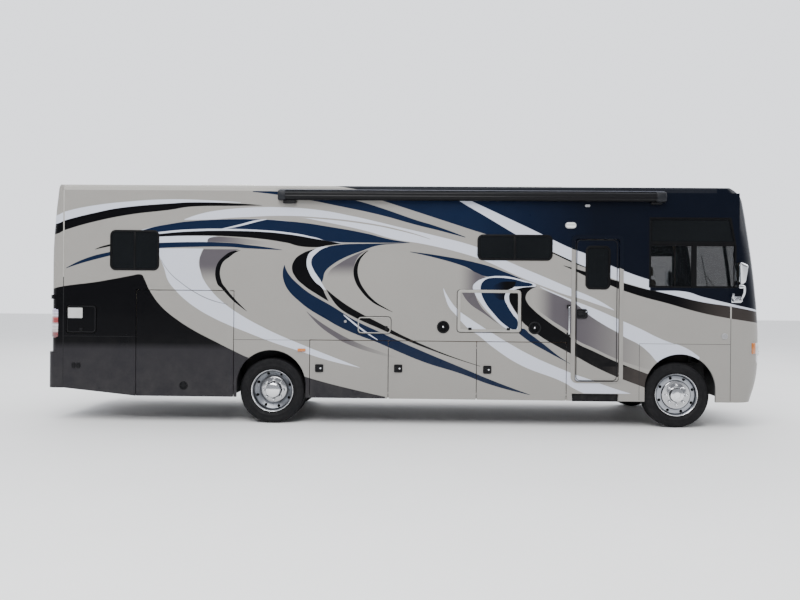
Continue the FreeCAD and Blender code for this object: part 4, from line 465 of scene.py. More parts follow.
def finish(maker):
    """Keeps each finish that a function writes, so that it is written once for each set of values."""
    def kept(*values):
        key = (maker.__name__, *values)
        if key not in FINISHES:
            FINISHES[key] = maker(*values)
        return FINISHES[key]
    return kept


# The coach's paint: a ground coat and sweeps laid over it in order, drawn in the plane of the side

# Each sweep lies between two edges, and an edge is a row of x, height, x, height and so on in millimetres.
# Along "x" an edge runs forwards and the first is the lower one. Along "z" it runs upwards and the first is
# the rear one. A fade is (axis, where the sweep is clear, where it is full).
Sweep = namedtuple("Sweep", "name colour way first second fades", defaults=[()])
SWEEPS = (
    Sweep("crown", "night", "x",
        (-1183, 3449, -925, 3395, -319, 3206, -68, 3126, 218, 3035, 645, 2898, 1153, 2738, 1582, 2616,
         2082, 2548, 2403, 2409, 2909, 2216, 3443, 1978, 3480, 1962, 3565, 1953, 3921, 1951, 4223, 1871,
         4585, 1785, 4965, 1704, 5300, 1655),
        (-1180, 3700, 5300, 3700)),
    Sweep("tail arc, light", "silver", "x",
        (-5300, 2870, -5056, 2848, -4906, 2897, -4484, 3006, -4040, 3091, -3370, 3151, -2865, 3167,
         -2361, 3168),
        (-5300, 2960, -5066, 2968, -4906, 3023, -4484, 3115, -4040, 3169, -3370, 3210, -2865, 3201,
         -2361, 3173)),
    Sweep("tail arc, dark", "ink", "x",
        (-5300, 2700, -5075, 2697, -4906, 2757, -4484, 2880, -3932, 2992, -3370, 3060, -3071, 3106,
         -2361, 3122, -2051, 3128),
        (-5300, 2840, -5056, 2848, -4906, 2897, -4484, 3006, -4040, 3091, -3370, 3151, -3071, 3169,
         -2361, 3154, -2051, 3131)),
    Sweep("bed wedge", "navy", "x",
        (-4882, 2207, -4652, 2285, -4243, 2395, -4123, 2425),
        (-4882, 2215, -4532, 2376, -4243, 2450, -4123, 2476)),
    Sweep("bed wedge, thin", "ink", "x",
        (-4461, 2482, -4340, 2509, -4123, 2555),
        (-4461, 2488, -4340, 2535, -4123, 2584)),
    Sweep("long spine, light", "silver", "x",
        (-4021, 2650, -3558, 2682, -2878, 2715, -2361, 2704, -1701, 2665, -1289, 2611, -911, 2590),
        (-4021, 2679, -3458, 2843, -2878, 2914, -2148, 2932, -1648, 2904, -1289, 2711, -911, 2599)),
    Sweep("long spine", "navy", "x",
        (-4021, 2664, -3574, 2735, -2878, 2789, -2569, 2792, -2070, 2778, -1635, 2740, -1289, 2677,
         -925, 2610, -549, 2607, 65, 2607),
        (-4021, 2679, -3807, 2754, -3458, 2843, -2878, 2914, -2148, 2932, -1648, 2904, -1043, 2825,
         -549, 2738, -220, 2659, 65, 2613)),
    Sweep("spine slash", "silver", "x",
        (-2620, 2783, -2361, 2833, -2102, 2901, -1987, 2928),
        (-2620, 2795, -2361, 2859, -2130, 2918, -1987, 2936)),
    Sweep("spine shadow", "ink", "x",
        (-3558, 2668, -2878, 2692, -2361, 2675, -2030, 2647, -1701, 2599, -1289, 2536, -1126, 2560,
         -911, 2590),
        (-3558, 2708, -2878, 2760, -2361, 2763, -2030, 2752, -1701, 2723, -1289, 2659, -911, 2595)),
    Sweep("bed stripe, light", "silver", "x",
        (-3659, 2582, -3081, 2599, -2793, 2601, -2692, 2644),
        (-3659, 2661, -2879, 2686, -2692, 2673)),
    Sweep("bed shade", "mauve", "x",
        (-2836, 2600, -2649, 2601, -2260, 2573, -1857, 2570),
        (-2836, 2615, -2735, 2676, -2505, 2672, -2217, 2642, -1857, 2575),
        (("x", -1857, -2735),)),
    Sweep("bed stripe", "navy", "x",
        (-3659, 2489, -3071, 2528, -2649, 2534, -2263, 2514, -1763, 2493),
        (-3659, 2574, -3071, 2599, -2649, 2597, -2263, 2565, -1763, 2498)),
    Sweep("rear sweep", "silver", "z",
        (-639, 823, -1110, 929, -1493, 1049, -1877, 1169, -2263, 1314, -2568, 1434, -2789, 1538,
         -2976, 1644, -3174, 1790, -3285, 1899, -3395, 2034, -3458, 2221, -3521, 2379, -3558, 2506),
        (-630, 823, -1014, 968, -1493, 1154, -1974, 1360, -2456, 1628, -2678, 1801, -2789, 1921,
         -2882, 2053, -2930, 2167, -2956, 2311, -2930, 2427, -2891, 2511)),
    Sweep("rear sweep, line", "slate", "x",
        (-3500, 2331, -3443, 2235, -3341, 2113, -3211, 2006, -3055, 1898, -2799, 1771, -2533, 1705),
        (-3500, 2346, -3443, 2248, -3341, 2126, -3211, 2019, -3055, 1911, -2799, 1784, -2533, 1712)),
    Sweep("rear sweep, shade", "mauve", "z",
        (-2887, 1995, -2923, 2167, -2949, 2311, -2923, 2427, -2885, 2499),
        (-2692, 1997, -2701, 2198, -2620, 2328, -2505, 2436, -2361, 2503),
        (("z", 2004, 2285),)),
    Sweep("rear arc", "ink", "z",
        (-2263, 1613, -2361, 1683, -2456, 1759, -2623, 1934, -2695, 2018, -2714, 2211, -2588, 2405,
         -2377, 2483),
        (-2256, 1613, -2434, 1789, -2562, 1940, -2627, 2038, -2646, 2212, -2492, 2406, -2353, 2483)),
    Sweep("tail dark", "ink", "x",
        (-5300, 200, -250, 200),
        (-5300, 1770, -5119, 1899, -4366, 2028, -3905, 2116, -3823, 2132, -3778, 2123, -3746, 2068,
         -3661, 1891, -3484, 1660, -3285, 1497, -3009, 1324, -2732, 1184, -2446, 1044, -2237, 950,
         -1857, 828, -1421, 686, -1140, 608, -782, 522, -266, 409)),
    Sweep("middle ring", "silver", "z",
        (-1140, 1925, -1298, 2052, -1384, 2180, -1412, 2298, -1395, 2412, -1333, 2487, -1068, 2549),
        (-1126, 1925, -1190, 2036, -1295, 2215, -1326, 2347, -1262, 2446, -1111, 2535, -1011, 2550)),
    Sweep("middle crescent, dark", "ink", "z",
        (-1091, 1767, -1239, 1855, -1437, 1985, -1569, 2116, -1615, 2230, -1584, 2345, -1470, 2445,
         -1289, 2512, -1240, 2522),
        (-1084, 1767, -1131, 1856, -1173, 1946, -1289, 2052, -1371, 2183, -1404, 2298, -1388, 2412,
         -1322, 2487, -1232, 2522)),
    Sweep("middle crescent", "navy", "z",
        (-1187, 2033, -1206, 2069, -1305, 2215, -1338, 2347, -1272, 2446, -1124, 2537, -878, 2581,
         -496, 2593, 47, 2604),
        (-1183, 2033, -1166, 2086, -1140, 2185, -1043, 2283, -878, 2383, -630, 2484, -384, 2568, -167, 2591,
         61, 2604)),
    Sweep("middle shade", "mauve", "z",
        (-1126, 2082, -1071, 2202, -957, 2293, -713, 2432, -553, 2497),
        (-728, 2086, -732, 2220, -696, 2352, -615, 2451, -525, 2497),
        (("z", 2085, 2313),)),
    Sweep("middle arc", "ink", "z",
        (-175, 1620, -310, 1679, -467, 1764, -630, 1927, -713, 2073, -733, 2204, -696, 2336, -615, 2435,
         -533, 2493),
        (-165, 1620, -282, 1685, -417, 1770, -566, 1927, -647, 2074, -672, 2205, -647, 2336, -582, 2436,
         -517, 2493)),
    Sweep("lower crescent, shade", "mauve", "x",
        (-1398, 1610, -1302, 1500, -1206, 1406, -1025, 1275, -822, 1162, -439, 1034, 39, 933),
        (-1398, 1619, -1302, 1540, -1014, 1351, -726, 1202, -343, 1054, 39, 939),
        (("x", 32, -997),)),
    Sweep("lower crescent", "navy", "z",
        (1781, 461, 1266, 589, 792, 757, 315, 900, -68, 1049, -247, 1126, -399, 1191, -679, 1294,
         -925, 1401, -1124, 1512, -1371, 1656, -1536, 1786, -1651, 1900, -1725, 2031, -1747, 2180,
         -1725, 2278),
        (1802, 461, 1266, 656, 792, 849, 315, 1043, -68, 1205, -383, 1347, -713, 1500, -878, 1599,
         -1043, 1701, -1206, 1790, -1371, 1887, -1536, 2017, -1635, 2115, -1701, 2221, -1719, 2278)),
    Sweep("lower blade", "ink", "x",
        (-1118, 1928, -1058, 1824, -911, 1655, -713, 1540, -323, 1369, -68, 1258, 410, 1073, 792, 944,
         1086, 856),
        (-1118, 1937, -959, 1808, -795, 1695, -582, 1575, -323, 1445, -68, 1308, 315, 1139, 696, 990,
         1086, 863)),
    Sweep("lower blade, slash", "silver", "x",
        (-868, 1567, -799, 1505, -610, 1359, -382, 1216),
        (-868, 1579, -799, 1529, -610, 1384, -382, 1227)),
    Sweep("awning stripe", "night", "x",
        (-2188, 3323, -1829, 3283, -1321, 3202, -1043, 3146, -384, 3010, 218, 2850, 360, 2817, 858, 2690),
        (-2188, 3334, -1829, 3330, -1355, 3305, -997, 3263, -682, 3202, -384, 3116, 218, 2915, 360, 2875,
         858, 2699)),
    Sweep("long sweep", "silver", "x",
        (-3168, 2917, -2781, 2926, -2361, 2959, -1958, 2966, -1498, 2959, -1212, 2912, -854, 2842,
         -549, 2773, -139, 2657, 218, 2602, 696, 2499, 1077, 2384, 1646, 2133, 2049, 1976, 2365, 1866,
         2437, 1851, 2697, 1767, 2972, 1673),
        (-3168, 2924, -2878, 3019, -2649, 3059, -2263, 3096, -1781, 3105, -1302, 3076, -726, 2979,
         -384, 2903, -68, 2828, 360, 2731, 1039, 2550, 1456, 2358, 2049, 2110, 2365, 1976, 2697, 1838,
         2972, 1678)),
    Sweep("long sweep, line", "champagne", "x",
        (-2217, 2959, -1701, 2964, -1206, 2940, -549, 2868, -68, 2776, 360, 2660),
        (-2217, 2966, -1701, 2984, -1206, 2962, -549, 2891, -68, 2796, 360, 2667)),
    Sweep("crown slash", "silver", "x",
        (503, 3405, 668, 3276, 1143, 2993, 1590, 2729, 1781, 2617, 2102, 2496, 2411, 2344, 2566, 2285,
         2909, 2137, 3046, 2087, 3275, 2020, 3474, 1966),
        (503, 3412, 838, 3257, 1356, 3018, 1969, 2731, 2082, 2675, 2354, 2550, 2566, 2471, 2909, 2313,
         3077, 2245, 3275, 2171, 3457, 2113, 3474, 2108)),
    Sweep("crown slash, line", "ink", "x",
        (1993, 2519, 2135, 2455, 2411, 2330, 2630, 2253),
        (1993, 2528, 2135, 2475, 2411, 2353, 2630, 2259)),
    Sweep("brow, light", "silver", "x",
        (3557, 1951, 3775, 1900, 4223, 1798, 4585, 1745, 4965, 1677, 5300, 1630),
        (3557, 1954, 3728, 1956, 3921, 1951, 4223, 1871, 4585, 1785, 4965, 1704, 5300, 1655)),
    Sweep("brow", "ink", "x",
        (2256, 2297, 2435, 2219, 2559, 2157, 2909, 2030, 3030, 1980, 3382, 1865, 3740, 1773, 3993, 1701,
         4297, 1627, 4601, 1572, 4981, 1517, 5300, 1470),
        (2256, 2304, 2435, 2254, 2909, 2119, 3194, 2036, 3472, 1966, 3557, 1951, 3775, 1900, 4223, 1798,
         4585, 1745, 4965, 1677, 5300, 1630)),
    Sweep("brow, front", "umber", "x",
        (3740, 1773, 3993, 1701, 4297, 1627, 4601, 1572, 4981, 1517, 5300, 1470),
        (3557, 1951, 3775, 1900, 4223, 1798, 4585, 1745, 4965, 1677, 5300, 1630),
        (("x", 3785, 4641),)),
    Sweep("hatch sweep", "silver", "z",
        (2573, 483, 2384, 576, 2310, 624, 1646, 889, 1266, 1131, 1039, 1312, 935, 1376, 730, 1590,
         642, 1690, 580, 1841, 551, 1962),
        (3222, 492, 2771, 636, 2644, 687, 2432, 756, 2310, 803, 1836, 1005, 1456, 1210, 1188, 1374,
         929, 1540, 757, 1666, 598, 1880, 557, 1962)),
    Sweep("hatch wedge", "navy", "x",
        (75, 2477, 503, 2381, 848, 2278, 1171, 2136, 1426, 2127, 1639, 2084, 1872, 2002),
        (75, 2484, 505, 2428, 1077, 2319, 1426, 2204, 1685, 2095, 1872, 2008)),
    Sweep("hatch shade, upper", "mauve", "x",
        (730, 1928, 929, 1930, 1015, 1987, 1100, 2073, 1214, 2108),
        (730, 2299, 848, 2264, 1015, 2193, 1171, 2125, 1214, 2114),
        (("x", 745, 1057),)),
    Sweep("hatch shade", "mauve", "z",
        (1517, 1369, 1391, 1433, 1137, 1607, 922, 1757, 807, 1922),
        (1526, 1369, 1441, 1401, 1214, 1582, 1074, 1733, 993, 1923)),
    Sweep("hatch ring", "silver", "z",
        (1554, 1349, 1398, 1433, 1228, 1592, 1062, 1789, 992, 1916, 972, 1994, 1015, 2054, 1114, 2109,
         1285, 2146),
        (1597, 1350, 1660, 1441, 1634, 1540, 1544, 1688, 1487, 1815, 1503, 1901, 1609, 1962, 1805, 1990,
         1866, 2014, 1753, 2065, 1568, 2120, 1426, 2147)),
    Sweep("hatch eye", "navy", "z",
        (1574, 1371, 1431, 1451, 1268, 1613, 1137, 1790, 1087, 1920, 1087, 2016, 1153, 2096, 1313, 2123),
        (1582, 1371, 1609, 1421, 1618, 1486, 1544, 1599, 1463, 1728, 1422, 1841, 1463, 1939, 1560, 1994,
         1823, 2017, 1696, 2064, 1560, 2100, 1356, 2124)),
    Sweep("hatch eye, core", "ink", "z",
        (1356, 1806, 1270, 1891, 1256, 1975, 1327, 2040, 1441, 2069),
        (1426, 1807, 1424, 1849, 1458, 1936, 1554, 1991, 1582, 2070),
        (("x", 1199, 1455),)),
    Sweep("hatch blade", "ink", "z",
        (3630, 504, 3426, 578, 3029, 726, 2697, 875, 2437, 1017, 2211, 1135, 1983, 1263, 1805, 1391,
         1675, 1502, 1625, 1584, 1544, 1696, 1487, 1826, 1503, 1907, 1609, 1966, 1866, 1998),
        (4178, 512, 3458, 773, 3029, 936, 2697, 1085, 2437, 1210, 2357, 1285, 2049, 1499, 1838, 1667,
         1740, 1780, 1723, 1861, 1772, 1942, 1880, 1998)),
    Sweep("hatch blade, front", "umber", "z",
        (3630, 504, 3426, 578, 3029, 726, 2697, 875),
        (4178, 512, 3458, 773, 3029, 936, 2697, 1085),
        (("x", 2714, 3335),)),
    Sweep("door shade", "mauve", "x",
        (1781, 1810, 1838, 1726, 2049, 1552, 2357, 1345, 2437, 1255, 2697, 1129, 3029, 978, 3335, 876,
         3503, 830),
        (1781, 1980, 1959, 1956, 2365, 1788, 2437, 1752, 2632, 1593, 2860, 1449, 3029, 1355, 3329, 1190,
         3503, 1040),
        (("x", 1809, 2149), ("x", 3728, 2403))),
    Sweep("door sweep", "silver", "x",
        (1923, 1994, 1993, 1957, 2365, 1794, 2437, 1755, 2632, 1595, 2860, 1450, 3029, 1357, 3102, 1308,
         3329, 1190, 3474, 1071, 3588, 943, 3728, 833, 4038, 837, 4178, 1017),
        (1923, 2001, 2365, 1820, 2697, 1693, 3029, 1550, 3335, 1418, 3616, 1282, 3799, 1213, 3900, 1186,
         4178, 1021)),
    Sweep("hatch tail", "navy", "x",
        (1634, 1328, 1805, 1204, 2049, 1068, 2357, 907),
        (1634, 1365, 1668, 1402, 1788, 1325, 1983, 1182, 2211, 1005, 2357, 914)),
)
SOFT_EDGE = 2.5  # millimetres
INNER_FACES = WALL_Y - 0.021
CAP_START = 4700  # millimetres; ahead of this every face of the walls counts as an outer one


def edge_at(finish, points, way, low, high, along):
    """Where one edge of a sweep is, for this distance along it, as a curve between its ends."""
    run, rise = (0, 1) if way == "x" else (1, 0)
    values = [point[rise] for point in points]
    least, most = min(values) - 1, max(values) + 1
    spots = [((point[run] - low) / (high - low), (point[rise] - least) / (most - least)) for point in points]
    share = finish.node("ShaderNodeFloatCurve", {"curve": spots}, {"Factor": 1, "Value": along})
    return share * (most - least) + least


def laid_sweep(finish, ground, sweep, x, z, tint):
    """Lays one sweep over the ground coat."""
    run = 0 if sweep.way == "x" else 1
    along, across = (x, z) if sweep.way == "x" else (z, x)
    edges = [tuple(zip(edge[::2], edge[1::2])) for edge in (sweep.first, sweep.second)]
    starts, stops = [edge[0][run] for edge in edges], [edge[-1][run] for edge in edges]
    low, high = min(starts), max(stops)
    share = (along - low) / (high - low)
    first, second = (edge_at(finish, edge, sweep.way, low, high, share) for edge in edges)
    inside = (across - first).least(second - across)
    start, stop = max(starts), min(stops)
    inside = inside.least(along - start).least(stop - along)
    mask = inside.over(-SOFT_EDGE, SOFT_EDGE)
    for axis, clear, full in sweep.fades:
        mask = mask * (x if axis == "x" else z).over(clear, full, kind="SMOOTHSTEP")
    return finish.mix(ground, tint, mask)


@finish
def coach_paint(inner):
    """Metallic paint with a clear coat. inner names the colour of the inner faces, or is empty."""
    colours = bpy.context.scene.motorhome_colours
    work = Finish("coach_paint_" + (inner or "all_round"))
    x, y, z = work.axes()
    x, z = x * 1000, z * 1000
    flake = work.noise(420, 2).over(0.3, 0.7, 0.93, 1.07)
    drift = work.noise(0.9, 2).over(0.3, 0.7, 0.975, 1.025)
    ground = work.toned(colours.champagne, drift)
    # Painted reflection of the floor: below about 1.1 m and behind x = 0.5 m the ink sweeps turn to the
    # floor-reflection colour
    low = z.over(1150, 1050) * (x < 500)
    tints = {"ink": work.mix(colours.ink, colours.floor_reflection, low), "night": work.mix(colours.navy,
        colours.night, x.over(900, 2700))}
    for sweep in SWEEPS:
        ground = laid_sweep(work, ground, sweep, x, z, tints.get(sweep.colour,
            getattr(colours, sweep.colour)))
    if inner:
        outside = (abs(y) > INNER_FACES).most(x > CAP_START)
        ground = work.mix(getattr(colours, inner), ground, outside)
    ground = work.toned(ground, flake)
    dust = work.noise(6, 5, 0.7).over(0.35, 0.75) * z.over(1300, 250)
    ground = work.mix(ground, (0.32, 0.3, 0.27), dust * 0.06)
    rough = work.noise(3, 3).over(0.3, 0.7, 0.27, 0.36)
    peel = work.bump(work.noise(95, 1), 0.05, 0.0006)
    return work.surface(ground, Roughness=rough, Metallic=0, Specular_IOR_Level=0.07, Coat_Weight=0.07,
        Coat_Roughness=0.06, Normal=peel)


# The other finishes


@finish
def shell(name, tint, rough=0.4, metal=0, grain=220, depth=0.0004, coat=0, shine=0.5):
    """A moulded or coated surface: slight colour drift, fine grain and uneven gloss."""
    work = Finish(name)
    drift = work.noise(4, 4, 0.6).over(0.25, 0.75, 0.9, 1.1)
    base = work.toned(tint, drift)
    gloss = work.noise(17, 4).over(0.3, 0.7, max(rough - 0.06, 0.02), min(rough + 0.08, 1))
    return work.surface(base, Roughness=gloss, Metallic=metal, Specular_IOR_Level=shine, Coat_Weight=coat,
        Coat_Roughness=0.08, Normal=work.bump(work.noise(grain, 2), 0.25, depth))


@finish
def polished(name, tint, rough):
    """Bright metal: fine turning or polishing marks in the gloss, faint stain."""
    work = Finish(name)
    stain = work.noise(9, 5, 0.65).over(0.45, 0.8)
    base = work.mix(tint, tuple(0.72 * part for part in tint), stain * 0.35)
    marks = work.noise(60, 3, 0.7, at=work.stretched((1, 14, 1)))
    gloss = marks.over(0.3, 0.7, rough * 0.7, rough * 1.5)
    return work.surface(base, Roughness=gloss, Metallic=1, Normal=work.bump(marks, 0.04, 0.0003))


@finish
def wheel_metal(axle):
    """Machined wheel: turning marks round the hub, painted groove shadows in the steps, a painted darker
    reflection over the outer ring up to the lip, painted shade on the flat hub plate, and a faint stain.
    """
    work = Finish("wheel_" + axle)
    x, y, z = work.axes()
    flat = work.node("ShaderNodeCombineXYZ", inputs={0: x, 2: z})
    reach = work.node("ShaderNodeVectorMath", {"operation": "DISTANCE"},
        {0: flat, 1: (AXLES[axle], 0, HUB_HEIGHT)}, output=1)
    sizes = bpy.context.scene.motorhome_wheels
    steps, crown = ((0.1, 0.207, 0.277), 1.1795) if axle == "front" else ((0.113, 0.193, 0.277), 1.078)
    # Painted groove shadows: dark rings at the three radii where the wheel's face steps
    rings = [abs(reach - radius).over(0.003, 0.009, 1, 0) for radius in steps]
    dark = rings[0].most(rings[1]).most(rings[2])
    turning = work.node("ShaderNodeTexNoise", {"noise_dimensions": "1D"}, {"W": reach, "Scale": 420,
        "Detail": 2})
    stain = work.noise(9, 5, 0.65).over(0.45, 0.8)
    base = work.toned(tuple(sizes.polish), turning.over(0.3, 0.7, 0.8, 1))
    # Painted reflection: the ring from the hub plate's edge out to the lip is made darker and bluer
    outer = (reach > steps[1]) * (reach < 0.29)
    base = work.mix(base, (0.27, 0.29, 0.33), outer * 0.75)
    # Painted shade: the flat hub plate round the dome, short of the crown, is greyed
    base = work.mix(base, (0.3, 0.3, 0.31), (reach < steps[1]) * (abs(y) < crown) * 0.6)
    # The painted groove-shadow rings go in here, with a faint random stain
    base = work.mix(base, (0.03, 0.03, 0.033), (dark * 0.85).most(stain * 0.15))
    return work.surface(base, Roughness=turning.over(0.3, 0.7, 0.1, 0.22) + outer * 0.22, Metallic=1,
        Normal=work.bump(turning, 0.05, 0.0004))


@finish
def rubber():
    """Tyre rubber: fine grain, dusty tread and shoulders."""
    sizes = bpy.context.scene.motorhome_wheels
    work = Finish("tyre_rubber")
    dust = work.noise(12, 5, 0.65).over(0.4, 0.75)
    base = work.mix(sizes.rubber, (0.02, 0.019, 0.019), dust * 0.4)
    gloss = work.noise(30, 3).over(0.3, 0.7, 0.5, 0.72)
    grain = work.bump(work.noise(260, 3), 0.35, 0.0005)
    return work.surface(base, Roughness=gloss, Specular_IOR_Level=0.16, Normal=grain)


@finish
def glass(name, tint, alpha, clear=()):
    """Tinted glass. clear gives (x, z, alpha) ahead of and under which it is see-through."""
    work = Finish(name)
    x, _, z = work.axes()
    ripple = work.noise(1.6, 1).over(0.3, 0.7, 0.012, 0.03)
    wave = work.bump(work.noise(2.2, 1), 0.06, 0.004)
    amount = alpha
    if clear:
        lower = (x > clear[0]) * (z < clear[1])
        amount = alpha - lower * (alpha - clear[2])
    tone = work.noise(0.8, 2).over(0.3, 0.7, 0.85, 1.15)
    base = work.toned(tint, tone)
    return work.surface(base, Roughness=ripple, Alpha=amount, Specular_IOR_Level=0.1, Normal=wave)


@finish
def lens(name, tint, ribs, glow):
    """A moulded lamp lens: prisms behind clear plastic."""
    work = Finish(name)
    prisms = work.node("ShaderNodeTexWave", {"bands_direction": "Z", "wave_profile": "TRI"},
        {"Vector": work.place, "Scale": ribs / 10, "Distortion": 0})
    base = work.mix(tuple(0.55 * part for part in tint), tint, prisms)
    return work.surface(base, Roughness=0.16, Coat_Weight=1, Coat_Roughness=0.02, Emission_Color=(*tint, 1),
        Emission_Strength=glow, Normal=work.bump(prisms, 0.25, 0.002))


@finish
def leather(name, tint):
    """Seat leather: fine cell grain, soft creases, slightly glossy where it is worn."""
    work = Finish(name)
    cells = work.node("ShaderNodeTexVoronoi", inputs={"Vector": work.place, "Scale": 420})
    grain = work.bump(cells, 0.35, 0.0006)
    crease = work.bump(work.noise(14, 5, 0.7), 0.12, 0.004, grain)
    drift = work.noise(5, 4).over(0.3, 0.7)
    base = work.mix(tint, tuple(0.7 * part for part in tint), drift * 0.5)
    return work.surface(base, Roughness=work.noise(8, 3).over(0.3, 0.7, 0.38, 0.55), Normal=crease)


def plastic():
    return shell("fitting_black", (0.006, 0.006, 0.007), 0.42, 0, 180, 0.0004, 0, 0.16)


def grey_plastic():
    return shell("fitting_grey", (0.3, 0.3, 0.31), 0.45)


def trim_champagne():
    return shell("seam_champagne", (0.33, 0.318, 0.295), 0.34, 0, 120, 0.0003)


def chrome():
    return polished("bright_chrome", (0.6, 0.615, 0.64), 0.08)


def amber_lens():
    return lens("amber_lens", (0.52, 0.15, 0.012), 60, 0.03)


def red_lens():
    return lens("red_marker", (0.55, 0.02, 0.02), 60, 0.05)


@finish
def studio_floor():
    """A pale matt floor."""
    sizes = bpy.context.scene.motorhome_stage
    work = Finish("studio_floor")
    cloud = work.noise(0.6, 4).over(0.3, 0.7)
    base = work.mix(sizes.floor, tuple(0.97 * part for part in sizes.floor), cloud)
    return work.surface(base, Roughness=work.noise(25, 3).over(0.3, 0.7, 0.6, 0.75))


# Operators: one for each piece or group of like pieces, and one for the stage


class StageOperator(bpy.types.Operator):
    """Lays the floor and sets the studio light and the camera"""

    bl_idname = "motorhome.stage"
    bl_label = "Floor, light and camera"

    def execute(self, context):
        sizes = context.scene.motorhome_stage
        drop_selection()
        bpy.ops.mesh.primitive_grid_add(x_subdivisions=8, y_subdivisions=8, size=2 * sizes.floor_half)
        floor = named(context.object, "floor")
        floor.data.materials.append(studio_floor())
        work = Finish("studio", world=True)
        _, side, rise = work.axes()
        light = work.mix(sizes.hall, sizes.sky, side.over(-0.35, 0.15).most(rise.over(0.45, 0.9) * 0.5))
        back = work.node("ShaderNodeBackground", inputs={"Color": light, "Strength": sizes.sky_strength})
        work.node("ShaderNodeOutputWorld", inputs={0: back})
        context.scene.world = work.material
        self.lamp("key", (-3, -14, 15), 13, 4200)
        self.lamp("nose_side", (17, -3, 9), 8, 900)
        self.lamp("far_side", (-2, 15, 12), 10, 1500)
        camera = bpy.data.objects.new("camera", bpy.data.cameras.new("camera"))
        camera.data.sensor_width = 36
        camera.data.lens = sizes.lens
        context.scene.collection.objects.link(camera)
        aim = (Matrix.Rotation(sizes.yaw, 4, "Z") @ Matrix.Rotation(math.pi / 2 + sizes.pitch, 4, "X")
            @ Matrix.Rotation(sizes.roll, 4, "Z"))
        camera.matrix_world = Matrix.Translation(sizes.place) @ aim
        context.scene.camera = camera
        return {"FINISHED"}

    def lamp(self, name, place, size, power):
        """A square soft light that faces the coach."""
        light = bpy.data.lights.new(name, "AREA")
        light.size = size
        light.energy = power
        lamp = bpy.data.objects.new(name, light)
        lamp.location = place
        lamp.rotation_euler = (Vector((0, 0, 1.4)) - Vector(place)).to_track_quat("-Z", "Y").to_euler()
        bpy.context.scene.collection.objects.link(lamp)


def dress(material, *nodes):
    """Gives CAD nodes a finish in every slot that they have."""
    for name in nodes:
        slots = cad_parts[name].data.materials
        if not slots:
            slots.append(material)
        for index in range(len(slots)):
            slots[index] = material


class PaintOperator(bpy.types.Operator):
    """Paints the coach's body, doors and caps"""

    bl_idname = "motorhome.paint"
    bl_label = "Body paint"

    def execute(self, context):
        dress(coach_paint("lining"), "wall_right", "wall_left", "slideout_room", "entry_door")
        dress(coach_paint(""), "front_cap", "rear_cap")
        doors = [f"bay_door_{side}_{number}" for side in SIDES for number in (1, 2, 3)]
        lids = ["tv_lid", "service_lid", "cord_lid", "locker_door", "utility_door"]
        dress(coach_paint("backing"), "skirts_right", "skirts_left", *doors, *lids)
        return {"FINISHED"}


class UndersideOperator(bpy.types.Operator):
    """Finishes the chassis, the bins and what else hangs under the floor"""

    bl_idname = "motorhome.underside"
    bl_label = "Underside finishes"

    def execute(self, context):
        frame_black = shell("frame_black", (0.014, 0.014, 0.015), 0.5, 0, 90, 0.0012, 0.2)
        cast = shell("cast_iron", (0.09, 0.085, 0.08), 0.6, 0.4, 130, 0.0015)
        dress(frame_black, "chassis_frame", "leaf_springs", "front_axle", "rear_axle")
        dress(cast, "knuckle_left", "knuckle_right", "tie_rod", "engine", "drive_shaft")
        dress(shell("tank_plastic", (0.02, 0.02, 0.021), 0.45, 0, 45, 0.0015), "tanks")
        dress(shell("exhaust_steel", (0.3, 0.27, 0.24), 0.42, 0.8, 80, 0.0006), "exhaust")
        liner = shell("dark_liner", (0.025, 0.025, 0.027), 0.65, 0, 120, 0.001)
        dress(liner, "wheel_liners", "bins_right", "bins_left")
        for side, sign in SIDES.items():
            low, high = sorted((sign * 0.6, sign * 0.612))
            panel = plate(f"splash_panel_{side}", (-2.33, low, 0.78), (-1.47, high, 1.085), 1, 0.06, 0.002)
            fitted(panel, liner, slot="dark_liner")
        dress(shell("cabin_floor", (0.19, 0.12, 0.07), 0.35, 0, 40, 0.0004), "coach_floor")
        return {"FINISHED"}


def there_and_back(half):
    """A profile that is the same on both sides of its middle, from one half of it."""
    return half + [(radius, -along) for radius, along in reversed(half) if along]


def on_axle(name, x, y, sign, profile, steps):
    """A turned piece on a wheel's axis, with sign pointing outwards."""
    return lathe(name, (x, y, HUB_HEIGHT), [(radius, sign * along) for radius, along in profile], steps)


class TyreOperator(bpy.types.Operator):
    """Turns the tyres: bead, ringed sidewalls and a grooved tread"""

    bl_idname = "motorhome.tyres"
    bl_label = "Tyres"

    def execute(self, context):
        for axle, rows in (("front", (0,)), ("rear", (-0.16, 0.16))):
            for side, sign in SIDES.items():
                track = 1.075 if axle == "front" else 0.94
                tyres = [self.tyre(f"tyre_{axle}_{side}_{number}", AXLES[axle], sign * track + row)
                    for number, row in enumerate(rows)]
                body, node = ((f"wheel_front_{side}", f"tyre_front_{side}") if axle == "front"
                    else (f"wheels_rear_{side}", f"tyres_rear_{side}"))
                fitted(joined(f"{axle}_tyre_{side}", *tyres), rubber(), body, "tyre", node, smooth=40)
        return {"FINISHED"}

    def tyre(self, name, x, y):
        sizes = bpy.context.scene.motorhome_wheels
        groove = sizes.tread_depth
        half = [(0.3, 0.088), (0.312, 0.098), (0.33, 0.106), (0.352, 0.1125), (0.356, 0.1155),
            (0.362, 0.1155), (0.366, 0.1135), (0.392, 0.1165), (0.41, 0.116), (0.414, 0.1172), (0.42, 0.1168),
            (0.436, 0.11), (0.44, 0.111), (0.447, 0.108), (0.458, 0.1015), (0.4645, 0.094), (0.4665, 0.082),
            (0.4675, 0.0665), (0.4675 - groove, 0.065), (0.4675 - groove, 0.055), (0.4685, 0.0535),
            (0.4692, 0.028), (0.4692 - groove, 0.0265), (0.4692 - groove, 0.0165), (0.4698, 0.015)]
        inner = [(0.292, -0.07), (0.2915, 0), (0.292, 0.07)]
        return on_axle(name, x, y, 1, there_and_back(half) + inner + [half[0]], 96)


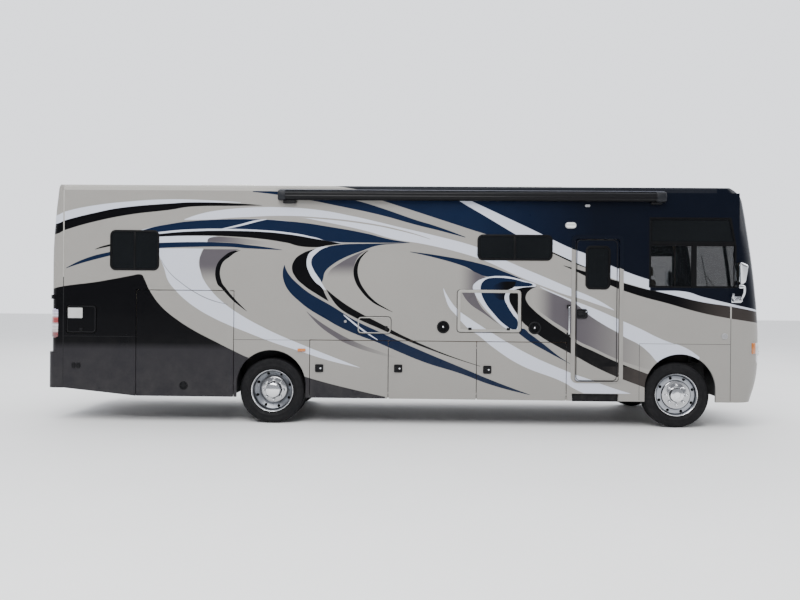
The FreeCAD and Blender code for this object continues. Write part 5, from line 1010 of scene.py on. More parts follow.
class WheelOperator(bpy.types.Operator):
    """Turns the polished wheels, with hand holes, studs and hub covers"""

    bl_idname = "motorhome.wheels"
    bl_label = "Wheels"

    def execute(self, context):
        cast = shell("drum_black", (0.004, 0.004, 0.0045), 0.6, 0, 130, 0.0015, 0, 0.15)
        for side, sign in SIDES.items():
            front = self.front(f"front_wheel_{side}", sign)
            fitted(front, wheel_metal("front"), f"wheel_front_{side}", "wheel_polish", f"rim_front_{side}",
                smooth=30)
            fitted(self.shields(side, sign, ("front", 1.075, 0.052, 0.06)), cast, f"wheel_front_{side}",
                "cast")
            rear = self.rear(f"rear_wheel_{side}", sign)
            fitted(self.shields(side, sign, ("rear", 1.1, -0.026, -0.064)), cast, f"wheels_rear_{side}",
                "cast")
            fitted(rear, wheel_metal("rear"), f"wheels_rear_{side}", "wheel_polish", f"rims_rear_{side}",
                smooth=30)
        return {"FINISHED"}

    def rim(self, name, x, y):
        """The barrel with its two flanges."""
        half = [(0.3025, 0.1115), (0.3025, 0.106), (0.296, 0.1), (0.291, 0.094), (0.289, 0.07),
            (0.281, 0.045), (0.279, 0)]
        back = [(0.298, -0.1125), (0.292, -0.108), (0.286, -0.098), (0.28, -0.072), (0.271, -0.047),
            (0.268, 0)]
        return on_axle(name, x, y, 1, there_and_back(half) + there_and_back(back) + [half[0]], 96)

    def disc(self, name, x, y, sign, face):
        """The disc between barrel and hub, 12 mm thick behind its face, with its hand holes cut."""
        sizes = bpy.context.scene.motorhome_wheels
        profile = [*face, *((radius - 0.003, along - 0.012) for radius, along in reversed(face)), face[0]]
        disc = on_axle(name, x, y, sign, profile, 96)
        holes = []
        for number in range(8):
            angle = sizes.first_hole + number * math.pi / 4
            spot = (x + sizes.hole_circle * math.sin(angle), y, HUB_HEIGHT + sizes.hole_circle
                * math.cos(angle))
            bpy.ops.mesh.primitive_cylinder_add(vertices=28, radius=sizes.hand_hole, depth=0.3, location=spot,
                rotation=(math.pi / 2, 0, 0))
            holes.append(bpy.context.object)
            drop_selection()
        hold(*holes)
        bpy.ops.object.join()
        bpy.ops.object.transform_apply()
        return cut_out(disc, bpy.context.object)

    def shields(self, side, sign, places):
        """The dark brake drum's rim that shows through the hand holes."""
        axle, track, edge, deep = places
        ring = ((0.262, edge), (0.205, deep), (0.205, deep - 0.006), (0.262, edge - 0.006), (0.262, edge))
        return on_axle(f"brake_shield_{axle}_{side}", AXLES[axle], sign * track, sign, ring, 64)

    def studs(self, name, x, y, sign, depth, radius):
        """Eight domed stud covers on their circle."""
        sizes = bpy.context.scene.motorhome_wheels
        profile = [(0, depth), (radius * 0.55, depth - 0.002), (radius * 0.86, depth - 0.008),
            (radius * 0.92, depth - 0.022), (radius, depth - 0.024), (radius, 0), (0, 0)]
        first = on_axle(name, x + sizes.stud_circle, y, sign, profile, 20)
        turns = [turned(number * math.pi / 4, "Y", (x, y, HUB_HEIGHT)) for number in range(1, 8)]
        others = [copied(first, name, turn) for turn in turns]
        return joined(name, first, *others)

    def front(self, name, sign):
        x, y = AXLES["front"], sign * 1.075
        face = [(0.281, 0.05), (0.279, 0.064), (0.272, 0.074), (0.262, 0.077), (0.214, 0.082), (0.204, 0.079),
            (0.198, 0.078), (0.105, 0.078)]
        dome = [(0.105, -0.012), (0.203, -0.003), (0.203, 0.012), (0.196, 0.018), (0.17, 0.02),
            (0.118, 0.022), (0.104, 0.03), (0.101, 0.06), (0.092, 0.072), (0.06, 0.079), (0.046, 0.08),
            (0.043, 0.076), (0, 0.077)]
        dish = y + sign * 0.082
        hub = on_axle(name, x, dish, sign, dome, 72)
        studs = self.studs(name, x, dish + sign * 0.01, sign, 0.052, 0.0215)
        return joined(name, self.rim(name, x, y), self.disc(name, x, y, sign, face), hub, studs)

    def rear(self, name, sign):
        x, outer, inner = AXLES["rear"], sign * 1.1, sign * 0.78
        face = [(0.281, 0.03), (0.278, 0.018), (0.268, 0.006), (0.226, -0.022), (0.206, -0.04),
            (0.196, -0.05), (0.105, -0.05)]
        facing = self.disc(name, x, outer, sign, face)
        far = self.disc(name, x, inner, -sign, face)
        dome = [(0.19, 0.002), (0.186, 0.016), (0.172, 0.022), (0.118, 0.024), (0.11, 0.034), (0.108, 0.1),
            (0.1, 0.118), (0.08, 0.128), (0, 0.132)]
        dish = outer - sign * 0.05
        hub = on_axle(name, x, dish, sign, dome, 72)
        studs = self.studs(name, x, dish + sign * 0.016, sign, 0.056, 0.0225)
        rims = (self.rim(name, x, outer), self.rim(name, x, inner))
        return joined(name, *rims, facing, far, hub, studs)


class WindowOperator(bpy.types.Operator):
    """Glazes the coach"""

    bl_idname = "motorhome.windows"
    bl_label = "Windows"

    def execute(self, context):
        dark = (0.006, 0.007, 0.008)
        dress(glass("coach_glass", dark, 0.985, (3.45, 2.6, 0.5)), "side_windows")
        dress(glass("leaf_glass", dark, 0.985), "entry_door_window", "slideout_window")
        dress(glass("screen_glass", (0.01, 0.013, 0.014), 0.55), "windshield")
        dress(shell("window_frame", (0.003, 0.003, 0.0035), 0.35, 0, 150, 0.0003, 0, 0.12),
            "cab_window_frames")
        return {"FINISHED"}


def on_right(name, x, z, width, height, depth, radius, soft=0.003):
    """A plate with round corners on the right wall, centred on x and z."""
    low = (x - width / 2, -(WALL_Y + depth), z - height / 2)
    high = (x + width / 2, -(WALL_Y - 0.004), z + height / 2)
    return plate(name, low, high, 1, radius, soft)


def frame_plate(name, x, y, z, radius, soft, width, hole_radius):
    """A flat ring on the side, this wide: a plate between (low, high) pairs with a hole in it."""
    (x0, x1), (y0, y1), (z0, z1) = x, y, z
    hole = plate("hole", (x0 + width, y0 - 0.02, z0 + width), (x1 - width, y1 + 0.02, z1 - width), 1,
        hole_radius, 0.001, 8)
    return cut_out(plate(name, (x0, y0, z0), (x1, y1, z1), 1, radius, soft, 8), hole)


class AwningOperator(bpy.types.Operator):
    """Draws the awning's case, its lead rail, top rail, end caps and lower bracket"""

    bl_idname = "motorhome.awning"
    bl_label = "Awning"

    def execute(self, context):
        low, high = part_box("awning")
        start, end = low[0], high[0]
        face = -WALL_Y
        case = self.swept("awning_case", start + 0.1, end - 0.13, ((face, 3.216), (-1.306, 3.207),
            (-1.334, 3.202), (-1.358, 3.209), (-1.373, 3.226), (-1.379, 3.252), (-1.379, 3.29),
            (-1.371, 3.315), (-1.352, 3.33), (-1.322, 3.34), (face, 3.343)))
        lead = self.swept("awning_lead", start + 0.105, end - 0.135, ((-1.366, 3.216), (-1.382, 3.228),
            (-1.386, 3.244), (-1.386, 3.262), (-1.381, 3.268), (-1.381, 3.276), (-1.386, 3.281),
            (-1.386, 3.297), (-1.38, 3.31), (-1.366, 3.322), (-1.36, 3.3), (-1.36, 3.235)))
        dark = shell("awning_black", (0.004, 0.004, 0.005), 0.34, 0, 60, 0.0004, 0.05, 0.12)
        fitted(joined("awning_housing", case, lead), dark, "coach", "dark_trim", "awning", smooth=50)
        # Top rail: dark aluminium, made a lighter grey than the case so that it carries a painted highlight
        # line along the awning's top
        rail = self.swept("awning_rail", start + 0.02, end - 0.02, ((face, 3.336), (-1.33, 3.341),
            (-1.338, 3.348), (-1.336, 3.356), (-1.318, 3.36), (-1.308, 3.354), (-1.3, 3.36), (face, 3.362)))
        fitted(rail, shell("rail_grey", (0.075, 0.08, 0.1), 0.4, 0, 60, 0.0004, 0, 0.3), slot="bright_tube",
            smooth=40)
        ends = [self.swept("awning_end", x, x + length, ((face, 3.2), (-1.33, 3.197), (-1.368, 3.203),
            (-1.384, 3.226), (-1.3865, 3.27), (-1.382, 3.318), (-1.366, 3.34), (-1.33, 3.35), (face, 3.352)),
            0.012) for x, length in ((start, 0.112), (end - 0.14, 0.14))]
        navy = shell("awning_ends", (0.012, 0.013, 0.016), 0.4, 0, 90, 0.0004, 0, 0.2)
        fitted(joined("awning_end_caps", *ends), navy, smooth=50)
        foot = block("awning_bracket", (start + 0.07, -1.345, 3.158), (start + 0.255, -1.278, 3.2), 0.008)
        far = block("awning_bracket", (end - 0.2, -1.335, 3.17), (end - 0.05, -1.278, 3.2), 0.008)
        fitted(joined("awning_brackets", foot, far), plastic())
        return {"FINISHED"}

    def swept(self, name, start, end, outline, soft=0):
        """A (y, z) outline pushed along the coach from one x to another."""
        points = [(start, y, z) for y, z in outline]
        return drawn(name, points, (end - start, 0, 0), soft)


class EntryOperator(bpy.types.Operator):
    """Trims the entry: frame, door latch, grab handle, door seal, porch light, awning sensor and step"""

    bl_idname = "motorhome.entry"
    bl_label = "Entry door"

    def execute(self, context):
        dress(self.trim(), "entry_frame")
        dress(tread_plate("step_tread", (0.004, 0.004, 0.0045)), "entry_step")
        black = plastic()
        bezel = plate("bezel", (2.439, -1.297, 1.552), (2.598, -1.276, 1.688), 1, 0.034, 0.004)
        dish = plate("dish", (2.452, -1.302, 1.566), (2.56, -1.29, 1.674), 1, 0.018, 0.003)
        bezel = cut_out(bezel, dish)
        paddle = drawn("paddle", [(2.458, -1.286, 1.585), (2.458, -1.304, 1.598), (2.458, -1.306, 1.655),
            (2.458, -1.286, 1.668)], (0.09, 0, 0), 0.004)
        key = lathe("key", (2.58, -1.296, 1.655), ((0, 0), (0.01, 0), (0.012, -0.003), (0.012, -0.006),
            (0, -0.007)), 20)
        fitted(joined("entry_latch", bezel, paddle), black, "entry_leaf")
        fitted(key, chrome(), "entry_leaf", "mirror_chrome")
        bar = pipe("grab", [(2.327, -1.292, 1.322), (2.327, -1.34, 1.326), (2.327, -1.348, 1.35),
            (2.327, -1.35, 1.5225), (2.327, -1.348, 1.695), (2.327, -1.34, 1.719), (2.327, -1.292, 1.723)],
            0.012, 12)
        fitted(bar, chrome(), slot="mirror_chrome", smooth=50)
        feet = [block("grab_foot", (2.303, -1.31, z - 0.026), (2.351, -1.28, z + 0.026), 0.008, 3)
            for z in (1.324, 1.721)]
        collars = [block("grab_collar", (2.31, -1.3475, z - 0.017), (2.344, -1.304, z + 0.017), 0.007, 3)
            for z in (1.328, 1.717)]
        fitted(joined("grab_handle_feet", *feet, *collars), black)
        lamp = on_right("porch_light", 2.35, 2.872, 0.142, 0.076, 0.026, 0.0375, 0.01)
        fitted(lamp, lens("porch_lens", (0.86, 0.86, 0.84), 60, 0.02), slot="clear_lens")
        rim = on_right("porch_base", 2.35, 2.872, 0.156, 0.09, 0.007, 0.044, 0.002)
        fitted(rim, grey_plastic(), slot="unit_white")
        eye = on_right("awning_sensor", 2.583, 3.151, 0.07, 0.034, 0.018, 0.012, 0.004)
        fitted(eye, grey_plastic(), slot="unit_white")
        fitted(self.seal(), black, "entry_leaf")
        return {"FINISHED"}

    def trim(self):
        """Frame paint: tan on the lower door, night blue beside the dark band above it."""
        colours = bpy.context.scene.motorhome_colours
        work = Finish("entry_trim")
        x, _, z = work.axes()
        line = z + (x - 2.4) * 0.397
        tan = work.mix((0.25, 0.24, 0.225), (0.272, 0.262, 0.245), work.noise(5, 3).over(0.3, 0.7))
        base = work.mix(tan, colours.night, line > 2.53)
        return work.surface(base, Roughness=work.noise(24, 3).over(0.3, 0.7, 0.28, 0.4),
            Specular_IOR_Level=0.1, Normal=work.bump(work.noise(160, 2), 0.12, 0.0004))

    def seal(self):
        """A thin dark rubber line round the door leaf."""
        low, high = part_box("entry_door")
        return frame_plate("door_seal", (low[0] + 0.004, high[0] - 0.03), (-1.2885, -1.2815),
            (low[2] + 0.004, high[2] - 0.004), 0.06, 0.001, 0.009, 0.052)


@finish
def tread_plate(name, tint):
    """Moulded non-slip tread: raised ribs across, dust in the grooves."""
    work = Finish(name)
    ribs = work.node("ShaderNodeTexWave", {"bands_direction": "Y"}, {"Vector": work.place, "Scale": 22})
    dust = work.noise(14, 4).over(0.4, 0.75)
    base = work.mix(work.mix(tint, (0.03, 0.029, 0.028), dust * 0.35), (0.012, 0.012, 0.0125), ribs * 0.5)
    return work.surface(base, Specular_IOR_Level=0.16, Roughness=work.noise(40, 2).over(0.3, 0.7, 0.5, 0.7),
        Normal=work.bump(ribs, 0.6, 0.002))


class LatchOperator(bpy.types.Operator):
    """Fits the latches, locks and pulls of the luggage doors and hatches"""

    bl_idname = "motorhome.latches"
    bl_label = "Door latches"

    def execute(self, context):
        black = plastic()
        first = self.paddle("bay_latch", -1.212, 0.808)
        for number, (x, z) in enumerate(((-1.212, 0.808), (-0.082, 0.816), (1.185, 0.812)), 1):
            shift = moved(x + 1.212, 0, z - 0.808)
            fitted(copied(first, f"bay_latch_right_{number}", shift), black, f"luggage_door_right_{number}")
            fitted(copied(first, f"bay_latch_left_{number}", ACROSS @ shift), black,
                f"luggage_door_left_{number}")
            for side, matrix in (("right", moved()), ("left", ACROSS)):
                lock = lathe(f"bay_lock_{side}_{number}", (x + 0.02, -1.292, z),
                    ((0, -0.008), (0.011, -0.008), (0.013, -0.004), (0.013, 0.008), (0, 0.008)), 18)
                lock.data.transform(matrix)
                fitted(right_way_out(lock), chrome(), f"luggage_door_{side}_{number}", "mirror_chrome")
        bpy.data.objects.remove(first)
        locker, utility = (self.ring(name, -3.165, 0.538) for name in ("locker_latch", "utility_latch"))
        fitted(right_way_out(locker), black, "locker_leaf")
        fitted(mirror_image(utility, "utility_latch"), black, "utility_leaf")
        small = [("service_latch", "service_hatch_lid", -0.257, 1.391, 0.04, 0.056),
            ("cord_latch", "cord_hatch_lid", -4.655, 1.33, 0.046, 0.04), ("tv_latch_rear", "television_lid",
            0.935, 1.392, 0.05, 0.036), ("tv_latch_front", "television_lid", 1.48, 1.392, 0.05, 0.036)]
        for name, body, x, z, width, height in small:
            fitted(self.catch(name, x, z, width, height), black, body)
        return {"FINISHED"}

    def paddle(self, name, x, z):
        """A square latch: bezel, hollow and paddle."""
        bezel = on_right(name, x, z, 0.118, 0.113, 0.012, 0.016, 0.004)
        hollow = plate("hollow", (x - 0.046, -1.3, z - 0.04), (x + 0.046, -1.2875, z + 0.042), 1, 0.01, 0.002)
        bezel = cut_out(bezel, hollow)
        pull = drawn("pull", [(x - 0.04, -1.284, z - 0.034), (x - 0.04, -1.2945, z - 0.03),
            (x - 0.04, -1.298, z + 0.01), (x - 0.04, -1.286, z + 0.016)], (0.08, 0, 0), 0.003)
        return joined(name, bezel, pull)

    def ring(self, name, x, z):
        """A flush ring pull: a dished round plate with a D ring across it."""
        dish = lathe(name, (x, -WALL_Y, z), ((0.06, 0.002), (0.06, -0.004), (0.056, -0.009), (0.05, -0.009),
            (0.046, -0.003), (0, -0.002), (0, 0.002)), 40)
        pull = lathe("pull", (x, -WALL_Y - 0.009, z), ((0.041, 0), (0.037, -0.0042), (0.033, 0),
            (0.037, 0.0042), (0.041, 0)), 32)
        lug = block("lug", (x - 0.016, -1.297, z + 0.028), (x + 0.016, -1.282, z + 0.048), 0.004)
        return joined(name, dish, pull, lug)

    def catch(self, name, x, z, width, height):
        """A small slam catch with a raised thumb tab."""
        base = on_right(name, x, z, width, height, 0.007, 0.008, 0.002)
        tab = on_right("tab", x, z - height * 0.12, width * 0.62, height * 0.45, 0.014, 0.006, 0.003)
        return joined(name, base, tab)


class SideOperator(bpy.types.Operator):
    """Fits the side's small pieces: speakers, hatch bands, markers, caps and water inlets"""

    bl_idname = "motorhome.side_fittings"
    bl_label = "Side fittings"

    def execute(self, context):
        self.speakers()
        self.hatch_trim()
        self.markers()
        self.inlets()
        return {"FINISHED"}

    def speakers(self):
        dark = shell("speaker_black", (0.006, 0.006, 0.007), 0.5, 0, 400, 0.0006, 0, 0.2)
        for number, x in enumerate((0.554, 1.853), 1):
            spot = (x, -WALL_Y, 1.4125)
            ring = lathe("ring", spot, ((0.088, 0.012), (0.09, -0.003), (0.086, -0.01), (0.078, -0.012),
                (0.072, -0.008), (0.07, 0.012), (0.088, 0.012)), 56)
            rounds = [lathe("round", spot, ((radius + 0.0028, 0), (radius, -0.0065), (radius - 0.0028, 0),
                (radius + 0.0028, 0)), 40) for radius in (0.064, 0.054, 0.044, 0.034, 0.024)]
            back = lathe("back", spot, ((0.073, 0.01), (0.073, 0.004), (0, 0.001), (0, 0.01)), 40)
            dome = lathe(f"speaker_dome_{number}", spot, ((0.014, 0.003), (0.012, -0.005), (0.006, -0.009),
                (0, -0.01), (0, 0.003)), 32)
            spokes = [block("spoke", (x - 0.0016, -WALL_Y - 0.004, 1.4125 + 0.012),
                (x + 0.0016, -WALL_Y + 0.003, 1.4845), 0.0006, 1) for _ in range(6)]
            for index, spoke in enumerate(spokes):
                spoke.data.transform(turned(index * math.pi / 3, "Y", spot))
            fitted(joined(f"speaker_{number}", ring, back, *rounds, *spokes), dark)
            fitted(dome, chrome(), slot="mirror_chrome")

    def hatch_trim(self):
        """Flanges round the hatches: tan round the television's, thin and painted round the others."""
        tan = shell("hatch_champagne", (0.3, 0.29, 0.27), 0.36, 0, 140, 0.0003)
        inset = 0.002
        for name, node, width, tint, body in (("tv_band", "tv_lid", 0.042, tan, "television_lid"),
                ("service_band", "service_lid", 0.014, tan, "service_hatch_lid"), ("cord_band", "cord_lid",
                0.014, plastic(), "cord_hatch_lid")):
            low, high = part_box(node)
            band = frame_plate(name, (low[0] + inset, high[0] - inset), (-1.2875, -1.2805),
                (low[2] + inset, high[2] - inset), 0.048, 0.0025, width, max(0.048 - width, 0.012))
            fitted(band, tint, body, "tan_trim")
        label = plate("cord_plate", (-4.848, -1.2855, 1.493), (-4.638, -1.28, 1.64), 1, 0.008, 0.0015)
        fitted(label, shell("plate_grey", (0.5, 0.5, 0.49), 0.4), "cord_hatch_lid", "unit_white")

    def markers(self):
        lamp = on_right("marker_right", -1.467, 1.064, 0.118, 0.046, 0.014, 0.014, 0.005)
        fitted_twice(lamp, amber_lens(), slot="clear_lens")
        for name, x, z, radius in (("fuel_cap", 4.529, 1.319, 0.044), ("test_port", -0.843, 1.48, 0.019)):
            fitted(self.round_cap(name, x, z, radius), grey_plastic())

    def round_cap(self, name, x, z, radius):
        """A round cover with a grip bar across its dish."""
        cover = lathe(name, (x, -WALL_Y, z), ((radius, 0.003), (radius, -0.004), (radius * 0.94, -0.008),
            (radius * 0.78, -0.009), (radius * 0.72, -0.004), (0, -0.003), (0, 0.003)), 36)
        grip = block("grip", (x - radius * 0.62, -WALL_Y - 0.0085, z - radius * 0.13),
            (x + radius * 0.62, -WALL_Y - 0.002, z + radius * 0.13), radius * 0.08)
        return joined(name, cover, grip)

    def inlets(self):
        """Twin oval water connections low on the tail."""
        ovals = []
        for x in (-4.76, -4.69):
            rim = on_right("oval", x, 0.811, 0.058, 0.086, 0.01, 0.028, 0.003)
            hollow = plate("hollow", (x - 0.02, -1.3, 0.777), (x + 0.02, -1.288, 0.845), 1, 0.019, 0.001)
            ovals += [cut_out(rim, hollow), on_right("plug", x, 0.811, 0.034, 0.06, 0.0075, 0.0165, 0.002)]
        fitted(joined("water_inlets", *ovals), plastic())


class MirrorOperator(bpy.types.Operator):
    """Shapes the chrome mirrors: a tall head, a lower lobe, a bent arm and a forked foot"""

    bl_idname = "motorhome.mirrors"
    bl_label = "Mirrors"

    def execute(self, context):
        mirror = joined("mirror_left", self.head("head"), self.arm("arm"))
        fitted_twice(mirror, chrome(), "coach", "mirror_chrome", "mirrors", smooth=50)
        pane = polished("mirror_pane", (0.72, 0.75, 0.78), 0.02)
        fitted_twice(self.panes("mirror_pane_left"), pane, slot="mirror_chrome")
        return {"FINISHED"}

    def head(self, name):
        """The head and the lobe under it: subdivided blocks, narrower at the front and the head's foot."""
        head = raw_block(name, (4.62, 1.3445, 2.03), (4.76, 1.5595, 2.37))
        with editing(head, "FACE", "DESELECT") as mesh:
            choose(head, mesh.faces, lambda face: face.normal.x > 0.9)
            bpy.ops.transform.resize(value=(1, 0.7, 0.72))
            choose(head, mesh.faces, lambda face: face.normal.z < -0.8)
            bpy.ops.transform.resize(value=(0.62, 0.66, 1))
        lobe = raw_block("lobe", (4.6255, 1.368, 1.987), (4.7105, 1.528, 2.053))
        with editing(lobe, "FACE", "DESELECT") as mesh:
            choose(lobe, mesh.faces, lambda face: face.normal.x > 0.9)
            bpy.ops.transform.resize(value=(1, 0.72, 0.66))
        for piece, width in ((head, 0.036), (lobe, 0.018)):
            shaped(piece, "BEVEL", width=width, segments=3, limit_method="NONE")
            shaped(piece, "SUBSURF", levels=2, render_levels=2)
        return joined(name, head, lobe)

    def arm(self, name):
        """The arm from the foot on the cap's corner up to the head, with a short prong behind it."""
        bar = pipe("bar", [(4.69, 1.27, 1.836), (4.7, 1.33, 1.836), (4.708, 1.395, 1.85),
            (4.722, 1.435, 1.905), (4.732, 1.445, 1.965), (4.722, 1.45, 2.03)], 0.017, 14)
        prong = pipe("prong", [(4.655, 1.3, 1.832), (4.628, 1.32, 1.845), (4.62, 1.33, 1.88),
            (4.624, 1.33, 1.925)], 0.015, 14)
        foot = block("foot", (4.622, 1.272, 1.806), (4.752, 1.35, 1.85), 0.016, 4)
        pad = block("pad", (4.616, 1.268, 1.792), (4.758, 1.292, 1.885), 0.01, 3)
        return joined(name, bar, prong, foot, pad)

    def panes(self, name):
        """The flat and wide-angle glasses on the backs of head and lobe."""
        tall = plate(name, (4.6185, 1.372, 2.08), (4.6245, 1.532, 2.33), 0, 0.03, 0.002)
        wide = plate("wide", (4.6235, 1.385, 2), (4.6295, 1.515, 2.04), 0, 0.014, 0.002)
        return joined(name, tall, wide)


class WindowTrimOperator(bpy.types.Operator):
    """Sets rubber frames round the side windows, the door window and the slide-out window, and the sliding
    windows' meeting stiles
    """

    bl_idname = "motorhome.window_trim"
    bl_label = "Window frames"

    def execute(self, context):
        black = shell("window_rubber", (0.003, 0.003, 0.0035), 0.4, 0, 200, 0.0003, 0, 0.12)
        for name, (x0, x1), (z0, z1), on_both in (("bed_frame", (-4.237, -3.535), (2.191, 2.76), True),
                ("mid_frame", (1.035, 2.092), (2.373, 2.731), False)):
            ring = joined(name + "_right", self.ring(name, x0, x1, z0, z1, 0.075), self.stile(x0, x1, z0, z1))
            (fitted_twice if on_both else fitted)(ring, black)
        door = self.ring("door_window_frame", 2.569, 2.909, 1.972, 2.58, 0.07)
        fitted(door, black, "entry_leaf")
        low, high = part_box("slideout_window")
        outer = self.ring("outer", low[0], high[0], low[2], high[2], 0.07)
        outer.data.transform(moved(y=WALL_Y - high[1] + 0.001))
        fitted(mirror_image(outer, "slideout_window_frame"), black, "slide_out_room")
        return {"FINISHED"}

    def ring(self, name, x0, x1, z0, z1, radius):
        """A raised rubber frame round a window on the right wall."""
        return frame_plate(name, (x0 - 0.006, x1 + 0.006), (-1.2895, -1.279), (z0 - 0.006, z1 + 0.006),
            radius + 0.006, 0.003, 0.028, radius - 0.022)

    def stile(self, x0, x1, z0, z1):
        """The meeting stile of a sliding window."""
        middle = (x0 + x1) / 2
        return block("stile", (middle - 0.014, -1.2885, z0 + 0.02), (middle + 0.014, -1.28, z1 - 0.02), 0.003)


class CapOperator(bpy.types.Operator):
    """Fits the front and rear caps: lamps, grille, wipers, seam mouldings, plate place and camera"""

    bl_idname = "motorhome.caps"
    bl_label = "Front and rear fittings"

    def execute(self, context):
        self.lamps()
        self.seams()
        self.nose()
        self.tail()
        return {"FINISHED"}

    def lamps(self):
        dress(head_lens(), "headlamps")
        dress(tail_lens(), "tail_lamps")
        for name, face, z, out, tint, slot in (("front_clearance_lamps", nose_face, 3.262, 1, amber_lens(),
                "clear_lens"), ("rear_clearance_lamps", tail_face, 3.25, -1, red_lens(), "red_lens")):
            markers = []
            for y in (-0.92, -0.3, 0, 0.3, 0.92):
                low, high = sorted(face(y, z) + out * reach for reach in (-0.035, 0.02))
                markers.append(block("marker", (low, y - 0.055, z - 0.016), (high, y + 0.055, z + 0.016),
                    0.009, 3))
            fitted(joined(name, *markers), tint, slot=slot)

    def seams(self):
        """Mouldings over the seams between the caps and the walls."""
        dark = shell("seam_black", (0.01, 0.01, 0.011), 0.4, 0, 120, 0.0003, 0, 0.2)
        lower = block("front_seam_right", (4.602, -1.2875, 1.566), (4.622, -1.278, 1.752), 0.003)
        top = block("top", (-4.926, -1.2875, 2.085), (-4.908, -1.278, 3.335), 0.003)
        pale = joined("cap_seams_right", lower, top)
        fitted_twice(pale, trim_champagne(), slot="body_paint")
        lines = [(-4.922, -4.912, 0.52, 2.085), (4.61, 4.616, 0.4, 1.566), (3.331, 3.336, 0.4, 1.203),
            (3.331, 4.607, 1.201, 1.206), (-2.449, -1.348, 1.203, 1.208), (-4.905, -3.86, 1.231, 1.236)]
        strips = [block("line", (x0, -1.2833, z0), (x1, -1.2805, z1), 0.0006, 1) for x0, x1, z0, z1 in lines]
        fitted_twice(joined("panel_lines_right", *strips), dark)

    def nose(self):
        """Grille finish, wipers, a blank plate place and fog lamps."""
        dress(polished("grille_bright", (0.46, 0.47, 0.49), 0.16), "grille")
        black = plastic()
        wipers = []
        for foot_y, tip_y in ((0.26, 0.82), (-0.82, -0.26)):
            foot = (nose_face(foot_y, 1.742) + 0.004, foot_y, 1.742)
            mid_y, mid_z = (foot_y + tip_y) / 2 + 0.02, 2.02
            elbow = (nose_face(mid_y, mid_z) + 0.03, mid_y, mid_z)
            tip = (nose_face(tip_y, 2.24) + 0.022, tip_y, 2.24)
            hub = lathe("hub", foot, ((0.024, -0.01), (0.024, 0.012), (0.018, 0.02), (0, 0.022)), 24,
                (1, 0, 0))
            near = Vector(foot) + Vector((0.022, 0, 0))
            arm = pipe("arm", [near, (near * 2 + Vector(elbow)) / 3, elbow, tip], 0.0075, 8)
            ends = []
            for along in (-0.36, -0.24, -0.12, 0, 0.12, 0.24, 0.36):
                y, z = tip_y + along * 0.1, 2.24 + along * 0.98 - 0.02
                ends.append((nose_face(y, z) + 0.009, y, z))
            blade = pipe("blade", ends, 0.0065, 6)
            wipers += [hub, arm, blade]
        fitted(joined("wipers", *wipers), black, smooth=50)
        x = nose_face(0, 0.46)
        place = plate("plate_place", (x - 0.03, -0.165, 0.405), (x + 0.012, 0.165, 0.5), 0, 0.01, 0.002)
        fitted(place, black)
        lamps = [lathe("fog", (nose_face(0.62 * sign, 0.64) - 0.004, 0.79 * sign, 0.66),
            ((0.052, -0.02), (0.054, 0.004), (0.046, 0.01), (0.04, 0.004), (0.02, 0.007), (0, 0.008)), 32,
            (1, 0, 0)) for sign in (-1, 1)]
        fitted(joined("fog_lamps", *lamps), lens("fog_lens", (0.7, 0.72, 0.75), 60, 0), slot="clear_lens")

    def tail(self):
        """Number plate place and blank plate, reversing camera, reflectors, and the tail's moulding lines."""
        black = plastic()
        x = tail_face(0, 0.8)
        base = plate("number_plate_place", (x - 0.012, -0.19, 0.7), (x + 0.03, 0.19, 0.85), 0, 0.012, 0.002)
        fitted(base, black)
        blank = plate("number_plate_blank", (x - 0.016, -0.16, 0.715), (x - 0.008, 0.16, 0.835), 0, 0.01,
            0.001)
        fitted(blank, shell("blank_plate", (0.62, 0.62, 0.6), 0.4, 0, 40, 0.0003), slot="unit_white")
        x = tail_face(0, 3.06)
        camera = block("reversing_camera", (x - 0.06, -0.07, 3.03), (x + 0.05, 0.07, 3.09), 0.014, 3)
        eye = lathe("camera_eye", (x - 0.058, 0, 3.052), ((0.02, 0.004), (0.02, -0.005), (0.014, -0.008),
            (0.012, -0.002), (0, -0.003)), 24, (1, 0, 0))
        fitted(joined("reversing_camera", camera, eye), black)
        glints = []
        for y in (-0.86, 0.86):
            x = tail_face(y, 0.93)
            glints.append(block("reflector", (x - 0.01, y - 0.09, 0.905), (x + 0.02, y + 0.09, 0.945), 0.006))
        # The red lens finish's faint emission makes these reflectors glow: a painted glow, as a reflector
        # gives no light of its own
        fitted(joined("bumper_reflectors", *glints), red_lens(), slot="red_lens")
        across = (-1.1, -0.8, -0.5, -0.25, 0, 0.25, 0.5, 0.8, 1.1)
        lips = [pipe("lip", [(tail_face(y, z) - 0.002, y, z) for y in across], 0.004, 6)
            for z in (1.768, 1.822)]
        fitted(joined("tail_moulding_lines", *lips), black)


@finish
def head_lens():
    """Headlamp: amber at the side, clear prisms towards the nose."""
    work = Finish("headlamp_lens")
    x, y, z = work.axes()
    across = work.node("ShaderNodeCombineXYZ", inputs={0: 0, 1: abs(y), 2: z})
    reach = work.node("ShaderNodeVectorMath", {"operation": "DISTANCE"}, {0: across, 1: (0, 0.9, 1.07)},
        output=1)
    ribs = work.node("ShaderNodeTexWave", {"bands_direction": "Y"}, {"Vector": work.place, "Scale": 9})
    clear = work.mix((0.16, 0.165, 0.175), (0.42, 0.43, 0.45), reach.over(0, 0.11))
    clear = work.mix(clear, (0.5, 0.52, 0.55), ribs * 0.3)
    base = work.mix(clear, (0.4, 0.12, 0.018), x < 4.985)
    return work.surface(base, Roughness=0.1, Coat_Weight=0.8, Coat_Roughness=0.02,
        Normal=work.bump(ribs, 0.25, 0.002))


